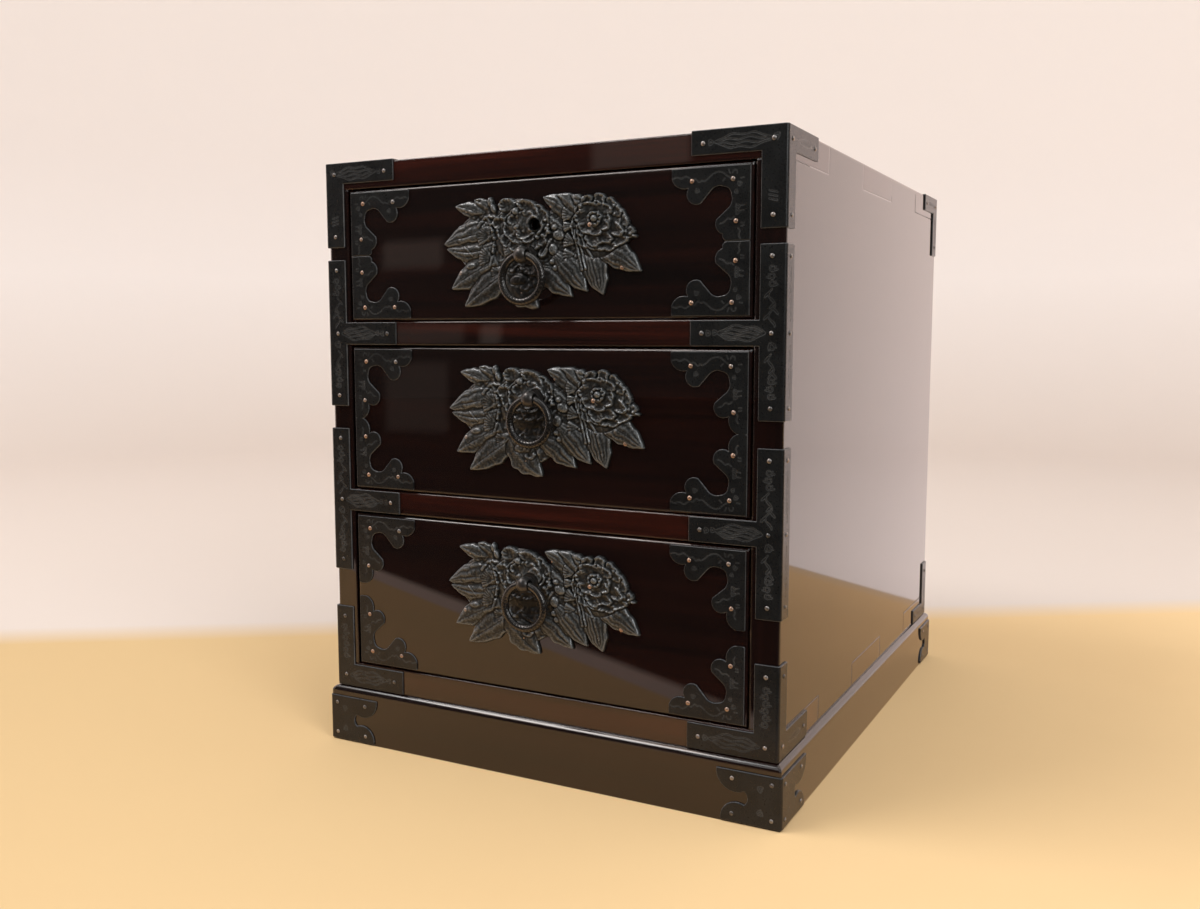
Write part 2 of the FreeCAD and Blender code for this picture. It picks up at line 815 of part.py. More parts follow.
def all_case_nails():
    inset = s.strap_width * NAIL_SET_SHARE
    side_inset = s.strap_side_width * NAIL_SET_SHARE
    end = inset
    nails = []
    # Top corner irons: corner, foot and arm end
    band_mid = case_top - s.top_iron_band * NAIL_SET_SHARE
    for z in (band_mid, case_top - s.top_iron_drop + end):
        nails += front_and_side_nails(inset, side_inset, z)
    nails += front_and_side_nails(s.top_iron_reach - end, s.top_iron_side_reach - end, band_mid)
    # T irons: both ends, the crossing and the arm's end
    for low, high in ((upper_rail_low, upper_rail_high), (lower_rail_low, lower_rail_high)):
        for z in (low + s.tee_inset - s.tee_down + end, (low + high) / 2, high + s.tee_up - end):
            nails += front_and_side_nails(inset, side_inset, z)
        across = s.tee_reach - end
        for way in (1, -1):
            nails.append(nail_at((half - across) * way, -s.iron_thick, (low + high) / 2, TO_FRONT))
    # Bottom corner irons
    low_mid = (bottom_low + bottom_band_high) / 2
    for z in (low_mid, s.plinth_height + s.bottom_iron_rise - end):
        nails += front_and_side_nails(inset, side_inset, z)
    nails += front_and_side_nails(s.top_iron_reach - end, s.bottom_iron_side_reach - end, low_mid)
    # Rear corner irons, on the side faces
    rear_line = s.case_depth - s.rear_iron_wrap * NAIL_SET_SHARE
    arm_line = s.case_depth - s.rear_iron_reach + end
    top_mid = case_top - s.rear_iron_band * NAIL_SET_SHARE
    foot_mid = (bottom_low + s.plinth_height + s.rear_iron_band) / 2
    places = [(rear_line, top_mid), (arm_line, top_mid), (rear_line, case_top - s.rear_iron_drop + end)]
    places += [(rear_line, foot_mid), (arm_line, foot_mid)]
    places.append((rear_line, s.plinth_height + s.rear_iron_drop - end))
    cheek = half + s.iron_thick
    for y, z in places:
        nails.append(nail_at(cheek, y, z, TO_RIGHT))
        nails.append(nail_at(-cheek, y, z, TO_LEFT))
    return nails + plinth_nails()


def plinth_nails():
    """Four nails on each plate of the plinth's irons, near the corners of its straight part."""
    rise = s.plinth_iron_high - s.plinth_iron_low
    heights = (s.plinth_iron_low + rise * PLINTH_NAIL_SHARE, s.plinth_iron_high - rise * PLINTH_NAIL_SHARE)
    edge = rise * PLINTH_NAIL_SHARE
    inner = rise * PLINTH_NAIL_INNER_SHARE
    nails = []
    for z in heights:
        for across in (edge, s.plinth_iron_reach - inner):
            for way in (1, -1):
                x = (plinth_half - across) * way
                nails.append(nail_at(x, -s.plinth_step - s.iron_thick, z, TO_FRONT))
        far = s.case_depth + s.plinth_step
        side_far = s.plinth_iron_side_reach - s.plinth_step - inner
        for y in (edge - s.plinth_step, side_far, far - edge, far - s.plinth_rear_reach + inner):
            nails.append(nail_at(plinth_half + s.iron_thick, y, z, TO_RIGHT))
            nails.append(nail_at(-plinth_half - s.iron_thick, y, z, TO_LEFT))
    return nails


keep(placed_group("case_nails", all_case_nails()))


# Drawers

front_half = inner_half - s.drawer_side_gap
box_inner = front_half - s.drawer_side_thick


def drawer_front(label, lift, height, eye):
    """A drawer front: chamfered face, rabbeted for the sides and floor, bored for the post."""
    body = new_body(label, lift)
    block(body, (-front_half, 0, 0), (front_half, s.front_thick, height))
    inside = s.front_thick - s.front_rabbet
    behind = s.front_thick + s.cut_overrun
    for low_x, high_x in ((box_inner, front_half + s.cut_overrun), (-front_half - s.cut_overrun, -box_inner)):
        notch(body, (low_x, inside, 0), (high_x, behind, height))
    notch(body, (-box_inner, inside, 0), (box_inner, behind, s.drawer_floor_thick))
    round_hole(body, "XZ", 0, eye, shank_hole, s.front_thick)
    rim = [("x", {"y": 0, "z": 0}), ("x", {"y": 0, "z": height})]
    rim += [("z", {"y": 0, "x": front_half}), ("z", {"y": 0, "x": -front_half})]
    soften(body, "Chamfer", s.front_chamfer, lambda edge: any(runs_along(edge, *line) for line in rim))
    return body


def drawer_side(label, lift, height):
    """The right-hand drawer side, standing on the floor board, with a dado for the back."""
    body = new_body(label, lift)
    top = height - s.drawer_rim_drop
    inside = s.front_thick - s.front_rabbet
    block(body, (box_inner, inside, s.drawer_floor_thick), (front_half, drawer_depth, top))
    dado_far = drawer_depth - s.drawer_back_inset
    notch(
        body,
        (box_inner, dado_far - s.drawer_side_thick, s.drawer_floor_thick),
        (box_inner + s.dado_depth, dado_far, top),
    )
    return body


def drawer_back(label, lift, height):
    body = new_body(label, lift)
    reach = box_inner + s.dado_depth
    far = drawer_depth - s.drawer_back_inset
    low = (-reach, far - s.drawer_side_thick, s.drawer_floor_thick)
    block(body, low, (reach, far, height - s.drawer_rim_drop))
    return body


def drawer_floor(label, lift):
    body = new_body(label, lift)
    inside = s.front_thick - s.front_rabbet
    block(body, (-front_half, inside, 0), (front_half, drawer_depth, s.drawer_floor_thick))
    return body


# Lobed drawer corner irons, as shares of the arm along the bottom and of the rise up the side
CORNER_SHARES = [
    (0.0, 0.0), (1.0, 0.0), (0.79, 0.24), (0.63, 0.43), (0.49, 0.27),
    (0.34, 0.245), (0.245, 0.34), (0.27, 0.49), (0.43, 0.63), (0.24, 0.79), (0.0, 1.0),
]
CORNER_BULGE_SHARES = {1: 0.32, 2: 0.38, 4: -0.14, 5: -0.2, 6: -0.14, 8: 0.38, 9: 0.32}
# Its three nails, on the same two shares
CORNER_NAIL_SHARES = [(0.22, 0.18), (0.74, 0.18), (0.18, 0.74)]


def drawer_corner_irons(label, lift, height, rise):
    """The four corner irons of a drawer front: one drawn, three mirrored from it."""
    form = new_body(label + "_form", lift)
    edge = front_half - s.corner_iron_inset
    foot = s.corner_iron_inset
    points = [(edge - s.corner_iron_arm * a, foot + rise * b) for a, b in CORNER_SHARES]
    sketch = outline(form, "XZ", 0, points[::-1], reversed_bulges(len(points), CORNER_BULGE_SHARES))
    pad(form, sketch, s.corner_iron_thick)
    across = mirrored(label + "_left", form, (1, 0, 0))
    middle = (0, 0, lift + height / 2)
    above = mirrored(label + "_above", form, (0, 0, 1), middle)
    above_left = mirrored(label + "_above_left", across, (0, 0, 1), middle)
    return grouped(label, [form, across, above, above_left])


def reversed_bulges(count, bulges):
    """The same bulges for an outline whose points are taken in the other order."""
    return {(count - 2 - index) % count: bulge for index, bulge in bulges.items()}


# Relief plate of peonies and leaves, placed as shares of the plate's width and height.
# Each leaf runs from its base to its tip; its breadth is a share of the plate's height.
LEAF_SHARES = [
    ((0.20, 0.80), (0.058, 0.965), 0.15),
    ((0.24, 0.80), (0.165, 0.975), 0.13),
    ((0.27, 0.66), (0.00, 0.63), 0.30),
    ((0.24, 0.50), (0.02, 0.56), 0.26),
    ((0.27, 0.36), (0.03, 0.25), 0.24),
    ((0.32, 0.32), (0.10, 0.075), 0.22),
    ((0.40, 0.36), (0.33, 0.07), 0.24),
    ((0.38, 0.34), (0.475, 0.0), 0.28),
    ((0.50, 0.34), (0.645, 0.07), 0.22),
    ((0.58, 0.42), (0.715, 0.115), 0.22),
    ((0.70, 0.44), (0.80, 0.055), 0.26),
    ((0.78, 0.46), (1.00, 0.20), 0.26),
    ((0.62, 0.80), (0.498, 0.955), 0.16),
    ((0.70, 0.84), (0.62, 0.985), 0.12),
]
# Round masses that join the leaves: centre and radius, the radius as a share of the height
DISC_SHARES = [
    ((0.20, 0.60), 0.28), ((0.30, 0.44), 0.26), ((0.44, 0.38), 0.28), ((0.58, 0.52), 0.26),
    ((0.72, 0.50), 0.22), ((0.26, 0.76), 0.14), ((0.62, 0.72), 0.26),
]
plate_reach = s.plate_thick + s.bloom_rise + s.petal_rise
BLOOM_SHARES = [(0.40, 0.70), (0.80, 0.68)]
BUD_SHARE = (0.232, 0.965)
PETAL_RING_SHARE = 0.72


def plate_point(share, out=0):
    """A point on the plate in its own frame: centre at the origin, -Y out of the face."""
    x = (share[0] - 1 / 2) * number_of(s.plate_width)
    z = (share[1] - 1 / 2) * number_of(s.plate_height)
    return Vector(x, -number_of(out), z)


def leaf_solid(base_share, tip_share, breadth_share):
    """A leaf is a lens of two arcs, as thick as the plate."""
    base, tip = plate_point(base_share), plate_point(tip_share)
    middle = (base + tip) / 2
    along = tip - base
    side = Vector(-along.z, 0, along.x).normalize() * (breadth_share * number_of(s.plate_height) / 2)
    edges = [Part.Arc(base, middle + side, tip).toShape(), Part.Arc(tip, middle - side, base).toShape()]
    return Part.Face(Part.Wire(edges)).extrude(Vector(0, -number_of(s.plate_thick), 0))


def disc_solid(centre_share, radius):
    return Part.makeCylinder(radius, number_of(s.plate_thick), plate_point(centre_share), Vector(0, -1, 0))


def dome_solid(foot, radius, rise):
    """A low dome standing on a round foot, its sphere sized from the foot and the rise."""
    sphere_radius = (radius * radius + rise * rise) / (2 * rise)
    centre = foot + Vector(0, sphere_radius - rise, 0)
    ball = Part.makeSphere(sphere_radius, centre)
    keeper = Part.makeCylinder(radius, rise * 2, foot, Vector(0, -1, 0))
    return ball.common(keeper)


def relief_shape():
    """Leaves, joining masses, two domed blooms with a ring of petals each, and a bud."""
    face = number_of(s.plate_thick)
    solids = [leaf_solid(*leaf) for leaf in LEAF_SHARES]
    solids += [disc_solid(centre, radius * number_of(s.plate_height)) for centre, radius in DISC_SHARES]
    bloom, petal = number_of(s.bloom_radius), number_of(s.petal_radius)
    lift = number_of(s.bloom_rise + s.petal_rise - s.plate_thick)
    for centre in BLOOM_SHARES:
        solids.append(disc_solid(centre, bloom))
        solids.append(dome_solid(plate_point(centre, face), bloom, number_of(s.bloom_rise)))
        for number in range(PETAL_COUNT):
            angle = 2 * math.pi * number / PETAL_COUNT
            ring = Vector(math.cos(angle), 0, math.sin(angle)) * (bloom * PETAL_RING_SHARE)
            foot = plate_point(centre, face) + ring
            solids.append(dome_solid(foot, petal, lift))
    solids.append(disc_solid(BUD_SHARE, number_of(s.bud_radius)))
    return solids[0].multiFuse(solids[1:]).removeSplitter()


RELIEF = relief_shape()


def relief_plate(label, lift, place, eye, keyhole=None):
    """The plate on one drawer, bored for the ring's post and, on the top drawer, for the key."""
    move = Vector(number_of(place[0]), 0, number_of(place[1]))
    shape = RELIEF.copy()
    shape.translate(move)
    depth = number_of(plate_reach)
    holes = [(eye, shank_hole)]
    if keyhole:
        holes.append((keyhole, s.keyhole))
    for centre, diameter in holes:
        foot = Vector(number_of(centre[0]), 0, number_of(centre[1]))
        shape = shape.cut(Part.makeCylinder(number_of(diameter) / 2, depth, foot, Vector(0, -1, 0)))
    seat = Vector(number_of(eye[0]), -number_of(s.plate_thick), number_of(eye[1]))
    shape = shape.cut(Part.makeCylinder(number_of(s.eye_flange), depth, seat, Vector(0, -1, 0)))
    piece = doc.addObject("Part::Feature", label)
    piece.Label = label
    piece.Shape = shape
    piece.Placement = Placement(Vector(0, front_y.value, number_of(lift)), Rotation())
    return piece


QUARTER_ARC_SHARE = (math.sqrt(2) - 1) / 2
BALL_FOOT_SHARE = 0.155


def eye_post(label, lift, eye):
    """A turned post through plate and drawer front; its ball is bored across for the ring."""
    body = doc.addObject("PartDesign::Body", label)
    body.Label = label
    body.setExpression(".Placement.Base.x", formula_of(eye[0]))
    body.setExpression(".Placement.Base.y", front_y.formula)
    body.setExpression(".Placement.Base.z", formula_of(lift + eye[1]))
    tail = s.front_thick + s.washer_thick + s.shank_tail
    seat = -s.plate_thick
    flange = seat - s.eye_flange_thick
    ball = s.eye_ball / 2
    ball_root = -s.eye_out + ball
    neck = s.eye_neck / 2
    profile = [
        (0, tail), (0, -s.eye_out - ball), (ball, -s.eye_out), (neck, ball_root - s.eye_flange_thick / 2),
        (neck, flange), (s.eye_flange / 2, flange), (s.eye_flange / 2, seat),
        (s.shank / 2, seat), (s.shank / 2, tail),
    ]
    sketch = outline(body, "XY", 0, profile, {1: QUARTER_ARC_SHARE, 2: BALL_FOOT_SHARE})
    turn = body.newObject("PartDesign::Revolution", fresh_name("turn"))
    turn.Profile = sketch
    turn.ReferenceAxis = (sketch, ["V_Axis"])
    turn.Angle = CIRCLE_DEGREES
    clear = ball + s.cut_overrun
    eye_hole = s.ring_wire + s.eye_slack * 2
    round_hole(body, "YZ", clear, (-s.eye_out, 0), eye_hole, clear * 2)
    return body


def ring_pull(label, lift, eye):
    """A plain ring of round bar that hangs in the post's eye."""
    ring = doc.addObject("Part::Torus", label)
    ring.Label = label
    ring.setExpression("Radius1", s.ring_radius.formula)
    ring.setExpression("Radius2", (s.ring_wire / 2).formula)
    ring.Placement = Placement(Vector(0, 0, 0), TO_FRONT)
    ring.setExpression(".Placement.Base.x", formula_of(eye[0]))
    ring.setExpression(".Placement.Base.y", (front_y - s.eye_out).formula)
    ring.setExpression(".Placement.Base.z", (lift + eye[1] - s.ring_radius).formula)
    return ring


# Nails of the relief plate, as shares of its width and height
PLATE_NAIL_SHARES = [(0.130, 0.90), (0.569, 0.90), (0.770, 0.72), (0.096, 0.347),
                     (0.416, 0.164), (0.661, 0.26), (0.803, 0.254), (0.911, 0.358)]


def drawer_fixings(label, lift, height, rise, place, eye):
    """All nails of one drawer's ironwork, and the washer behind the ring's post."""
    nails = []
    face = -s.corner_iron_thick
    edge = front_half - s.corner_iron_inset
    for a, b in CORNER_NAIL_SHARES:
        for way in (1, -1):
            x = (edge - s.corner_iron_arm * a) * way
            z = s.corner_iron_inset + rise * b
            nails.append(nail_at(x, face, z, TO_FRONT))
            nails.append(nail_at(x, face, height - z, TO_FRONT))
    for share in PLATE_NAIL_SHARES:
        spot = plate_point(share)
        x, z = spot.x + number_of(place[0]), spot.z + number_of(place[1])
        nails.append(nail_at(x, -relief_at(spot), z, TO_FRONT))
    inner_face = Vector(number_of(eye[0]), number_of(s.front_thick), number_of(eye[1]))
    thick = number_of(s.washer_thick)
    inward = Vector(0, 1, 0)
    washer = Part.makeCylinder(number_of(s.washer) / 2, thick, inner_face, inward)
    bore = Part.makeCylinder(number_of(shank_hole) / 2, thick, inner_face, inward)
    return placed_group(label, nails + [washer.cut(bore)], lift)


def relief_at(spot):
    """How far the relief stands out at a spot of the plate."""
    probe = Part.makeLine(spot, spot - Vector(0, number_of(plate_reach), 0))
    return RELIEF.common(probe).BoundBox.YLength


DRAWERS = [
    # name, height of the shelf it runs on, opening, iron rise, plate centre, eye
    ("top", upper_rail_high, s.top_opening, s.top_corner_iron_rise,
     (s.top_plate_x, s.top_plate_z), (s.top_eye_x, s.top_eye_z)),
    ("middle", lower_rail_high, s.middle_opening, s.corner_iron_rise,
     (s.middle_plate_x, s.middle_plate_z), (s.middle_eye_x, s.middle_eye_z)),
    ("bottom", floor_top, s.bottom_opening, s.corner_iron_rise,
     (s.bottom_plate_x, s.bottom_plate_z), (s.bottom_eye_x, s.bottom_eye_z)),
]

fronts = {}
lifts = {}
heights = {}
for name, shelf, opening, rise, plate, eye in DRAWERS:
    lift = shelf + s.drawer_lift
    height = opening - s.drawer_lift - s.drawer_head_gap
    lifts[name], heights[name] = lift, height
    stem = f"{name}_drawer_"
    fronts[name] = keep(drawer_front(stem + "front", lift, height, eye))
    side = keep(drawer_side(stem + "right_side", lift, height))
    keep(mirrored(stem + "left_side", side, (1, 0, 0)))
    keep(drawer_back(stem + "back", lift, height))
    keep(drawer_floor(stem + "floor", lift))
    keep(drawer_corner_irons(stem + "corner_irons", lift, height, rise))
    keyhole = (s.key_x, s.key_z) if name == "top" else None
    keep(relief_plate(stem + "relief_plate", lift, plate, eye, keyhole))
    keep(eye_post(stem + "ring_post", lift, eye))
    keep(ring_pull(stem + "ring_pull", lift, eye))
    keep(drawer_fixings(stem + "fixings", lift, height, rise, plate, eye))


# Lock of the top drawer

lock_lift, lock_top = lifts["top"], heights["top"]
lock_back = s.front_thick
lock_front = lock_back - s.lock_thick - s.lock_plate_thick
lock_low = lock_top - s.lock_height
key = (s.key_x, s.key_z)

top_front = fronts["top"]
pocket_low = (s.key_x - s.lock_width / 2, lock_front, lock_low)
pocket_high = (s.key_x + s.lock_width / 2, lock_back + s.cut_overrun, lock_top)
notch(top_front, pocket_low, pocket_high)
round_hole(top_front, "XZ", 0, key, s.keyhole, s.front_thick)

lock_case = keep(new_body("lock_case", lock_lift))
case_back = lock_back - s.lock_plate_thick
block(lock_case, pocket_low, (pocket_high[0], case_back, lock_top))
room_half = s.bolt_width / 2 + s.bolt_gap
room_front = case_back - s.bolt_gap * 2 - s.bolt_thick
notch(
    lock_case,
    (s.key_x - room_half, room_front, lock_low + s.lock_floor),
    (s.key_x + room_half, case_back + s.cut_overrun, lock_top),
)
round_hole(lock_case, "XZ", 0, key, s.keyhole, room_front)

lock_plate = keep(new_body("lock_back_plate", lock_lift))
block(lock_plate, (pocket_low[0], case_back, lock_low), (pocket_high[0], lock_back, lock_top))

lock_bolt = keep(new_body("lock_bolt", lock_lift))
bolt_rear = case_back - s.bolt_gap
bolt_top = lock_top - s.bolt_gap
block(
    lock_bolt,
    (s.key_x - s.bolt_width / 2, bolt_rear - s.bolt_thick, bolt_top - s.bolt_height),
    (s.key_x + s.bolt_width / 2, bolt_rear, bolt_top),
)


# Checks and files

doc.recompute()
broken = [item.Label for item in doc.Objects if "Invalid" in item.State or "Error" in item.State]
if broken:
    raise RuntimeError("not built: " + ", ".join(broken))
for piece in sub_parts:
    if piece.Shape.isNull() or not piece.Shape.isValid() or not piece.Shape.Solids:
        raise RuntimeError("bad shape: " + piece.Label)

os.makedirs("parts", exist_ok=True)
for piece in sub_parts:
    piece.Shape.exportStep(f"parts/{piece.Label}.step")
    print(f"{piece.Label}: {len(piece.Shape.Solids)} solids, {piece.Shape.Volume:.0f} cubic mm")
print(f"{len(sub_parts)} nodes")
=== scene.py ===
import json
import math

import bmesh
import bpy
import numpy as np
from mathutils import Matrix, Vector
from mathutils.geometry import delaunay_2d_cdt

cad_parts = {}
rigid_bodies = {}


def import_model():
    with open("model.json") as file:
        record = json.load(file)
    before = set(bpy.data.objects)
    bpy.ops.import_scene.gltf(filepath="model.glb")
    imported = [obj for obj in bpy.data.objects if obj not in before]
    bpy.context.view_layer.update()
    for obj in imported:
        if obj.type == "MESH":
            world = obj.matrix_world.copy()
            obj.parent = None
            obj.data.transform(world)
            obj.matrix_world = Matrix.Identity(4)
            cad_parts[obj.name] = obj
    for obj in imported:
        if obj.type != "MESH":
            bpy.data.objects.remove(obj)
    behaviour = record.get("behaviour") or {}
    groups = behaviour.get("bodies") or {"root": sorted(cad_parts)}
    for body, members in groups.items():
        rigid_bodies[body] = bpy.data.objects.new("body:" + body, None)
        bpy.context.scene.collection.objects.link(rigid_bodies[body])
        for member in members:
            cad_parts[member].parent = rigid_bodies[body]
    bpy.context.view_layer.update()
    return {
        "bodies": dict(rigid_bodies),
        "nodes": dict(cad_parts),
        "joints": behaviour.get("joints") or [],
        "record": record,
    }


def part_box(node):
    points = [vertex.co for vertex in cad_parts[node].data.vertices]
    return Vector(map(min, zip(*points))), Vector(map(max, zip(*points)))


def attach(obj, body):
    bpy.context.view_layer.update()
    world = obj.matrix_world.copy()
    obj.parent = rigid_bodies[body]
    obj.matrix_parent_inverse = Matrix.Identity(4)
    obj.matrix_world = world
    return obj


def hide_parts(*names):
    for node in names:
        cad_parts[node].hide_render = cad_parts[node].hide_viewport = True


# A small lacquered clothing chest with forged straps, lobed corner irons and peony plates.
# Lengths are millimetres in the chest's own frame until a mesh is made, then metres.

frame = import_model()
nodes = frame["nodes"]
MM = 0.001
DRAWERS = ("top", "middle", "bottom")


def node_box(name):
    """A node's corners in millimetres."""
    low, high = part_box(name)
    return np.array(low) / MM, np.array(high) / MM


# Places read off the working model

shell_low, shell_high = node_box("right_side_board")
CASE_HALF = shell_high[0]
FRONT_Y, BACK_Y = shell_low[1], shell_high[1]
PLINTH_TOP, CASE_TOP = shell_low[2], shell_high[2]
PLINTH_HALF = node_box("plinth_right_board")[1][0]
PLINTH_FRONT = node_box("plinth_front_board")[0][1]
PLINTH_BACK = node_box("plinth_back_board")[1][1]


# Shader and geometry graphs


class Graph:
    """A node tree under construction: adds nodes and links them by what they carry."""

    def __init__(self, tree):
        self.tree = tree
        tree.nodes.clear()

    def node(self, kind, sockets=None, **settings):
        made = self.tree.nodes.new(kind)
        for key, value in settings.items():
            setattr(made, key, value)
        for key, value in (sockets or {}).items():
            self.feed(made.inputs[key], value)
        return made

    def feed(self, socket, value):
        if isinstance(value, bpy.types.NodeSocket):
            self.tree.links.new(value, socket)
        else:
            socket.default_value = value

    def maths(self, operation, *values, clamp=False):
        sockets = dict(enumerate(values))
        return self.node("ShaderNodeMath", sockets, operation=operation, use_clamp=clamp).outputs[0]

    def spread(self, value, low, high, out_low=0.0, out_high=1.0):
        sockets = {"Value": value, "From Min": low, "From Max": high, "To Min": out_low, "To Max": out_high}
        return self.node("ShaderNodeMapRange", sockets).outputs[0]

    def blend(self, share, a, b):
        a, b = (v if isinstance(v, bpy.types.NodeSocket) else (*v, 1) for v in (a, b))
        return self.node("ShaderNodeMix", {"Factor": share, 6: a, 7: b}, data_type="RGBA").outputs[2]


class Finish(Graph):
    """A material under construction."""

    def __init__(self, name):
        self.material = bpy.data.materials.new(name)
        self.material.use_nodes = True
        super().__init__(self.material.node_tree)
        self.surface = self.node("ShaderNodeBsdfPrincipled")
        self.sink = self.node("ShaderNodeOutputMaterial", {"Surface": self.surface.outputs[0]})

    def place(self, stretch=(1, 1, 1)):
        """Object coordinates, stretched along the three axes."""
        where = self.node("ShaderNodeTexCoord").outputs["Object"]
        return self.node("ShaderNodeMapping", {"Vector": where, "Scale": stretch}).outputs[0]

    def drawn_out(self, along, across, lengthways):
        """Coordinates for a pattern drawn out along one axis."""
        stretch = [across] * 3
        stretch[along] = lengthways
        return self.place(stretch)

    def noise(self, scale, detail, roughness, distortion=0.0, place=None):
        sockets = {"Vector": place or self.place(), "Scale": scale, "Detail": detail}
        sockets.update({"Roughness": roughness, "Distortion": distortion})
        return self.node("ShaderNodeTexNoise", sockets).outputs["Fac"]

    def sway(self, noise, low, high):
        """A noise, which keeps to about 0.3 to 0.7, spread between two values."""
        return self.spread(noise, 0.3, 0.7, low, high)

    def mixed(self, a, share, b):
        return self.maths("ADD", self.maths("MULTIPLY", a, share), self.maths("MULTIPLY", b, 1 - share))

    def ramp(self, value, stops):
        """Colours blended along a value: stops are (place, colour)."""
        made = self.node("ShaderNodeValToRGB", {"Fac": value})
        band = made.color_ramp
        while len(band.elements) < len(stops):
            band.elements.new(0.5)
        for element, (at, colour) in zip(band.elements, stops):
            element.position = at
            element.color = (*colour, 1)
        return made.outputs["Color"]

    def bump(self, height, strength, distance, normal=None):
        sockets = {"Height": height, "Strength": strength, "Distance": distance}
        if normal is not None:
            sockets["Normal"] = normal
        return self.node("ShaderNodeBump", sockets).outputs[0]

    def eased(self, radius):
        """Surface direction with edges rounded over, as a hand plane or a file leaves them."""
        return self.node("ShaderNodeBevel", {"Radius": radius}, samples=6).outputs[0]

    def carried(self, name):
        """A value stored along with the piece's own points."""
        return self.node("ShaderNodeAttribute", attribute_name=name).outputs["Fac"]

    def set(self, **sockets):
        for key, value in sockets.items():
            name = key.replace("_", " ").title().replace("Ior", "IOR")
            if isinstance(value, tuple) and len(value) == 3:
                value = (*value, 1)
            self.feed(self.surface.inputs[name], value)
        return self.material


def times(colour, factor):
    return tuple(factor * part for part in colour)


# Wood finishes; along is the grain's axis


def lacquered_wood(name, along, dark, light, grain=1.0):
    """Transparent red-brown lacquer over straight-grained wood."""
    made = Finish(name)
    rings = made.noise(3.2, 5, 0.55, 0.7, made.drawn_out(along, 26.0, 1.1))
    pores = made.noise(1, 2, 0.6, 0.0, made.drawn_out(along, 900.0, 9.0))
    cloud = made.sway(made.noise(5.0, 2, 0.5), 0.55 * grain, grain)
    tone = made.maths("MULTIPLY", made.spread(made.mixed(rings, 0.72, pores), 0.36, 0.66), cloud, clamp=True)
    between = tuple((a + b) / 2 for a, b in zip(dark, light))
    colour = made.ramp(tone, [(0.0, dark), (0.62, between), (1.0, light)])
    eased = made.eased(0.0018)
    film = made.bump(made.noise(38.0, 1, 0.4), 0.008, 0.0006, eased)
    fibre = made.bump(pores, 0.12, 0.0002, eased)
    made.set(base_color=colour, roughness=made.sway(pores, 0.5, 0.62), specular_ior_level=0.03, normal=fibre)
    return made.set(coat_weight=1.0, coat_roughness=0.022, coat_ior=1.54, coat_normal=film)


def bare_wood(name, along):
    """Planed pale wood inside the case and the drawers."""
    made = Finish(name)
    rings = made.noise(4.0, 5, 0.6, 1.2, made.drawn_out(along, 14.0, 0.9))
    pores = made.noise(1.0, 3, 0.7, 0.0, made.drawn_out(along, 700.0, 12.0))
    colour = made.ramp(made.mixed(rings, 0.7, pores), [
        (0.3, (0.36, 0.22, 0.11)), (0.5, (0.52, 0.36, 0.2)), (0.7, (0.66, 0.5, 0.31))])
    normal = made.bump(pores, 0.25, 0.0003, made.eased(0.0005))
    return made.set(base_color=colour, roughness=made.sway(pores, 0.48, 0.66), normal=normal)


NEAR_BLACK, DEEP_RED = (0.0022, 0.0009, 0.0008), (0.013, 0.0032, 0.0022)
RAIL_DARK, RAIL_RED = (0.004, 0.001, 0.0007), (0.034, 0.0062, 0.0034)
X, Y, Z = range(3)

GRAIN_ACROSS = lacquered_wood("lacquer_grain_across", X, NEAR_BLACK, DEEP_RED)
GRAIN_DEEP = lacquered_wood("lacquer_grain_deep", Y, NEAR_BLACK, DEEP_RED)
GRAIN_UPRIGHT = lacquered_wood("lacquer_grain_upright", Z, NEAR_BLACK, DEEP_RED)
GRAIN_RAIL = lacquered_wood("lacquer_rail_grain", X, RAIL_DARK, RAIL_RED, 1.15)
BARE_DEEP = bare_wood("bare_wood_deep", Y)
BARE_ACROSS = bare_wood("bare_wood_across", X)


# Iron and steel finishes


def iron(name, broad, fine, hammered, pitted):
    """The start of an iron finish: broad mottling and fine pits, felt in its surface."""
    made = Finish(name)
    made.broad, made.fine = made.noise(*broad), made.noise(fine, 2, 0.6)
    made.set(normal=made.bump(made.fine, *pitted, made.bump(made.broad, *hammered)))
    return made


def black_iron(colour, worn_colour):
    """Blackened iron: satin, faintly hammered, paler where its edges have worn and along the cut lines,
    where rubbed metal and a painted highlight make them show.
    """
    made = iron("black_iron", (55.0, 3, 0.55), 900.0, (0.12, 0.0006), (0.16, 0.00012))
    worn = made.maths("MULTIPLY", made.carried("worn"), made.sway(made.broad, 0.45, 1.0), clamp=True)
    mottled = made.blend(made.spread(made.broad, 0.35, 0.65), colour, times(colour, 1.7))
    rough = made.maths("ADD", made.sway(made.fine, 0.25, 0.38), made.maths("MULTIPLY", worn, -0.06))
    made.set(base_color=made.blend(worn, mottled, worn_colour))
    return made.set(roughness=rough, specular_ior_level=0.3)


def relief_iron(dark, middle, pale):
    """Patinated iron: dark in the chased lines, rubbed paler on the ridges, with the painted shade and light
    that its plates carry.
    """
    made = iron("relief_iron", (60.0, 4, 0.6), 1100.0, (0.12, 0.0005), (0.2, 0.00012))
    worn = made.maths("ADD", made.carried("worn"), made.sway(made.broad, -0.07, 0.07))
    rough = made.maths("ADD", made.sway(made.fine, 0.3, 0.42), made.spread(worn, 0.3, 0.8, 0.1, -0.08))
    colour = made.ramp(worn, [(0.2, dark), (0.5, middle), (0.9, pale)])
    return made.set(base_color=colour, roughness=rough, metallic=0.35, specular_ior_level=0.5)


def ring_iron(dark, pale):
    """Iron handled smooth: glossy, with darker cut lines."""
    made = iron("ring_iron", (70.0, 3, 0.5), 1200.0, (0.1, 0.0004), (0.12, 0.0001))
    worn = made.maths("ADD", made.carried("worn"), made.sway(made.broad, -0.1, 0.1))
    colour = made.ramp(worn, [(0.1, dark), (0.5, pale), (0.85, times(pale, 2.2))])
    return made.set(base_color=colour, metallic=0.85, roughness=made.sway(made.fine, 0.18, 0.3))


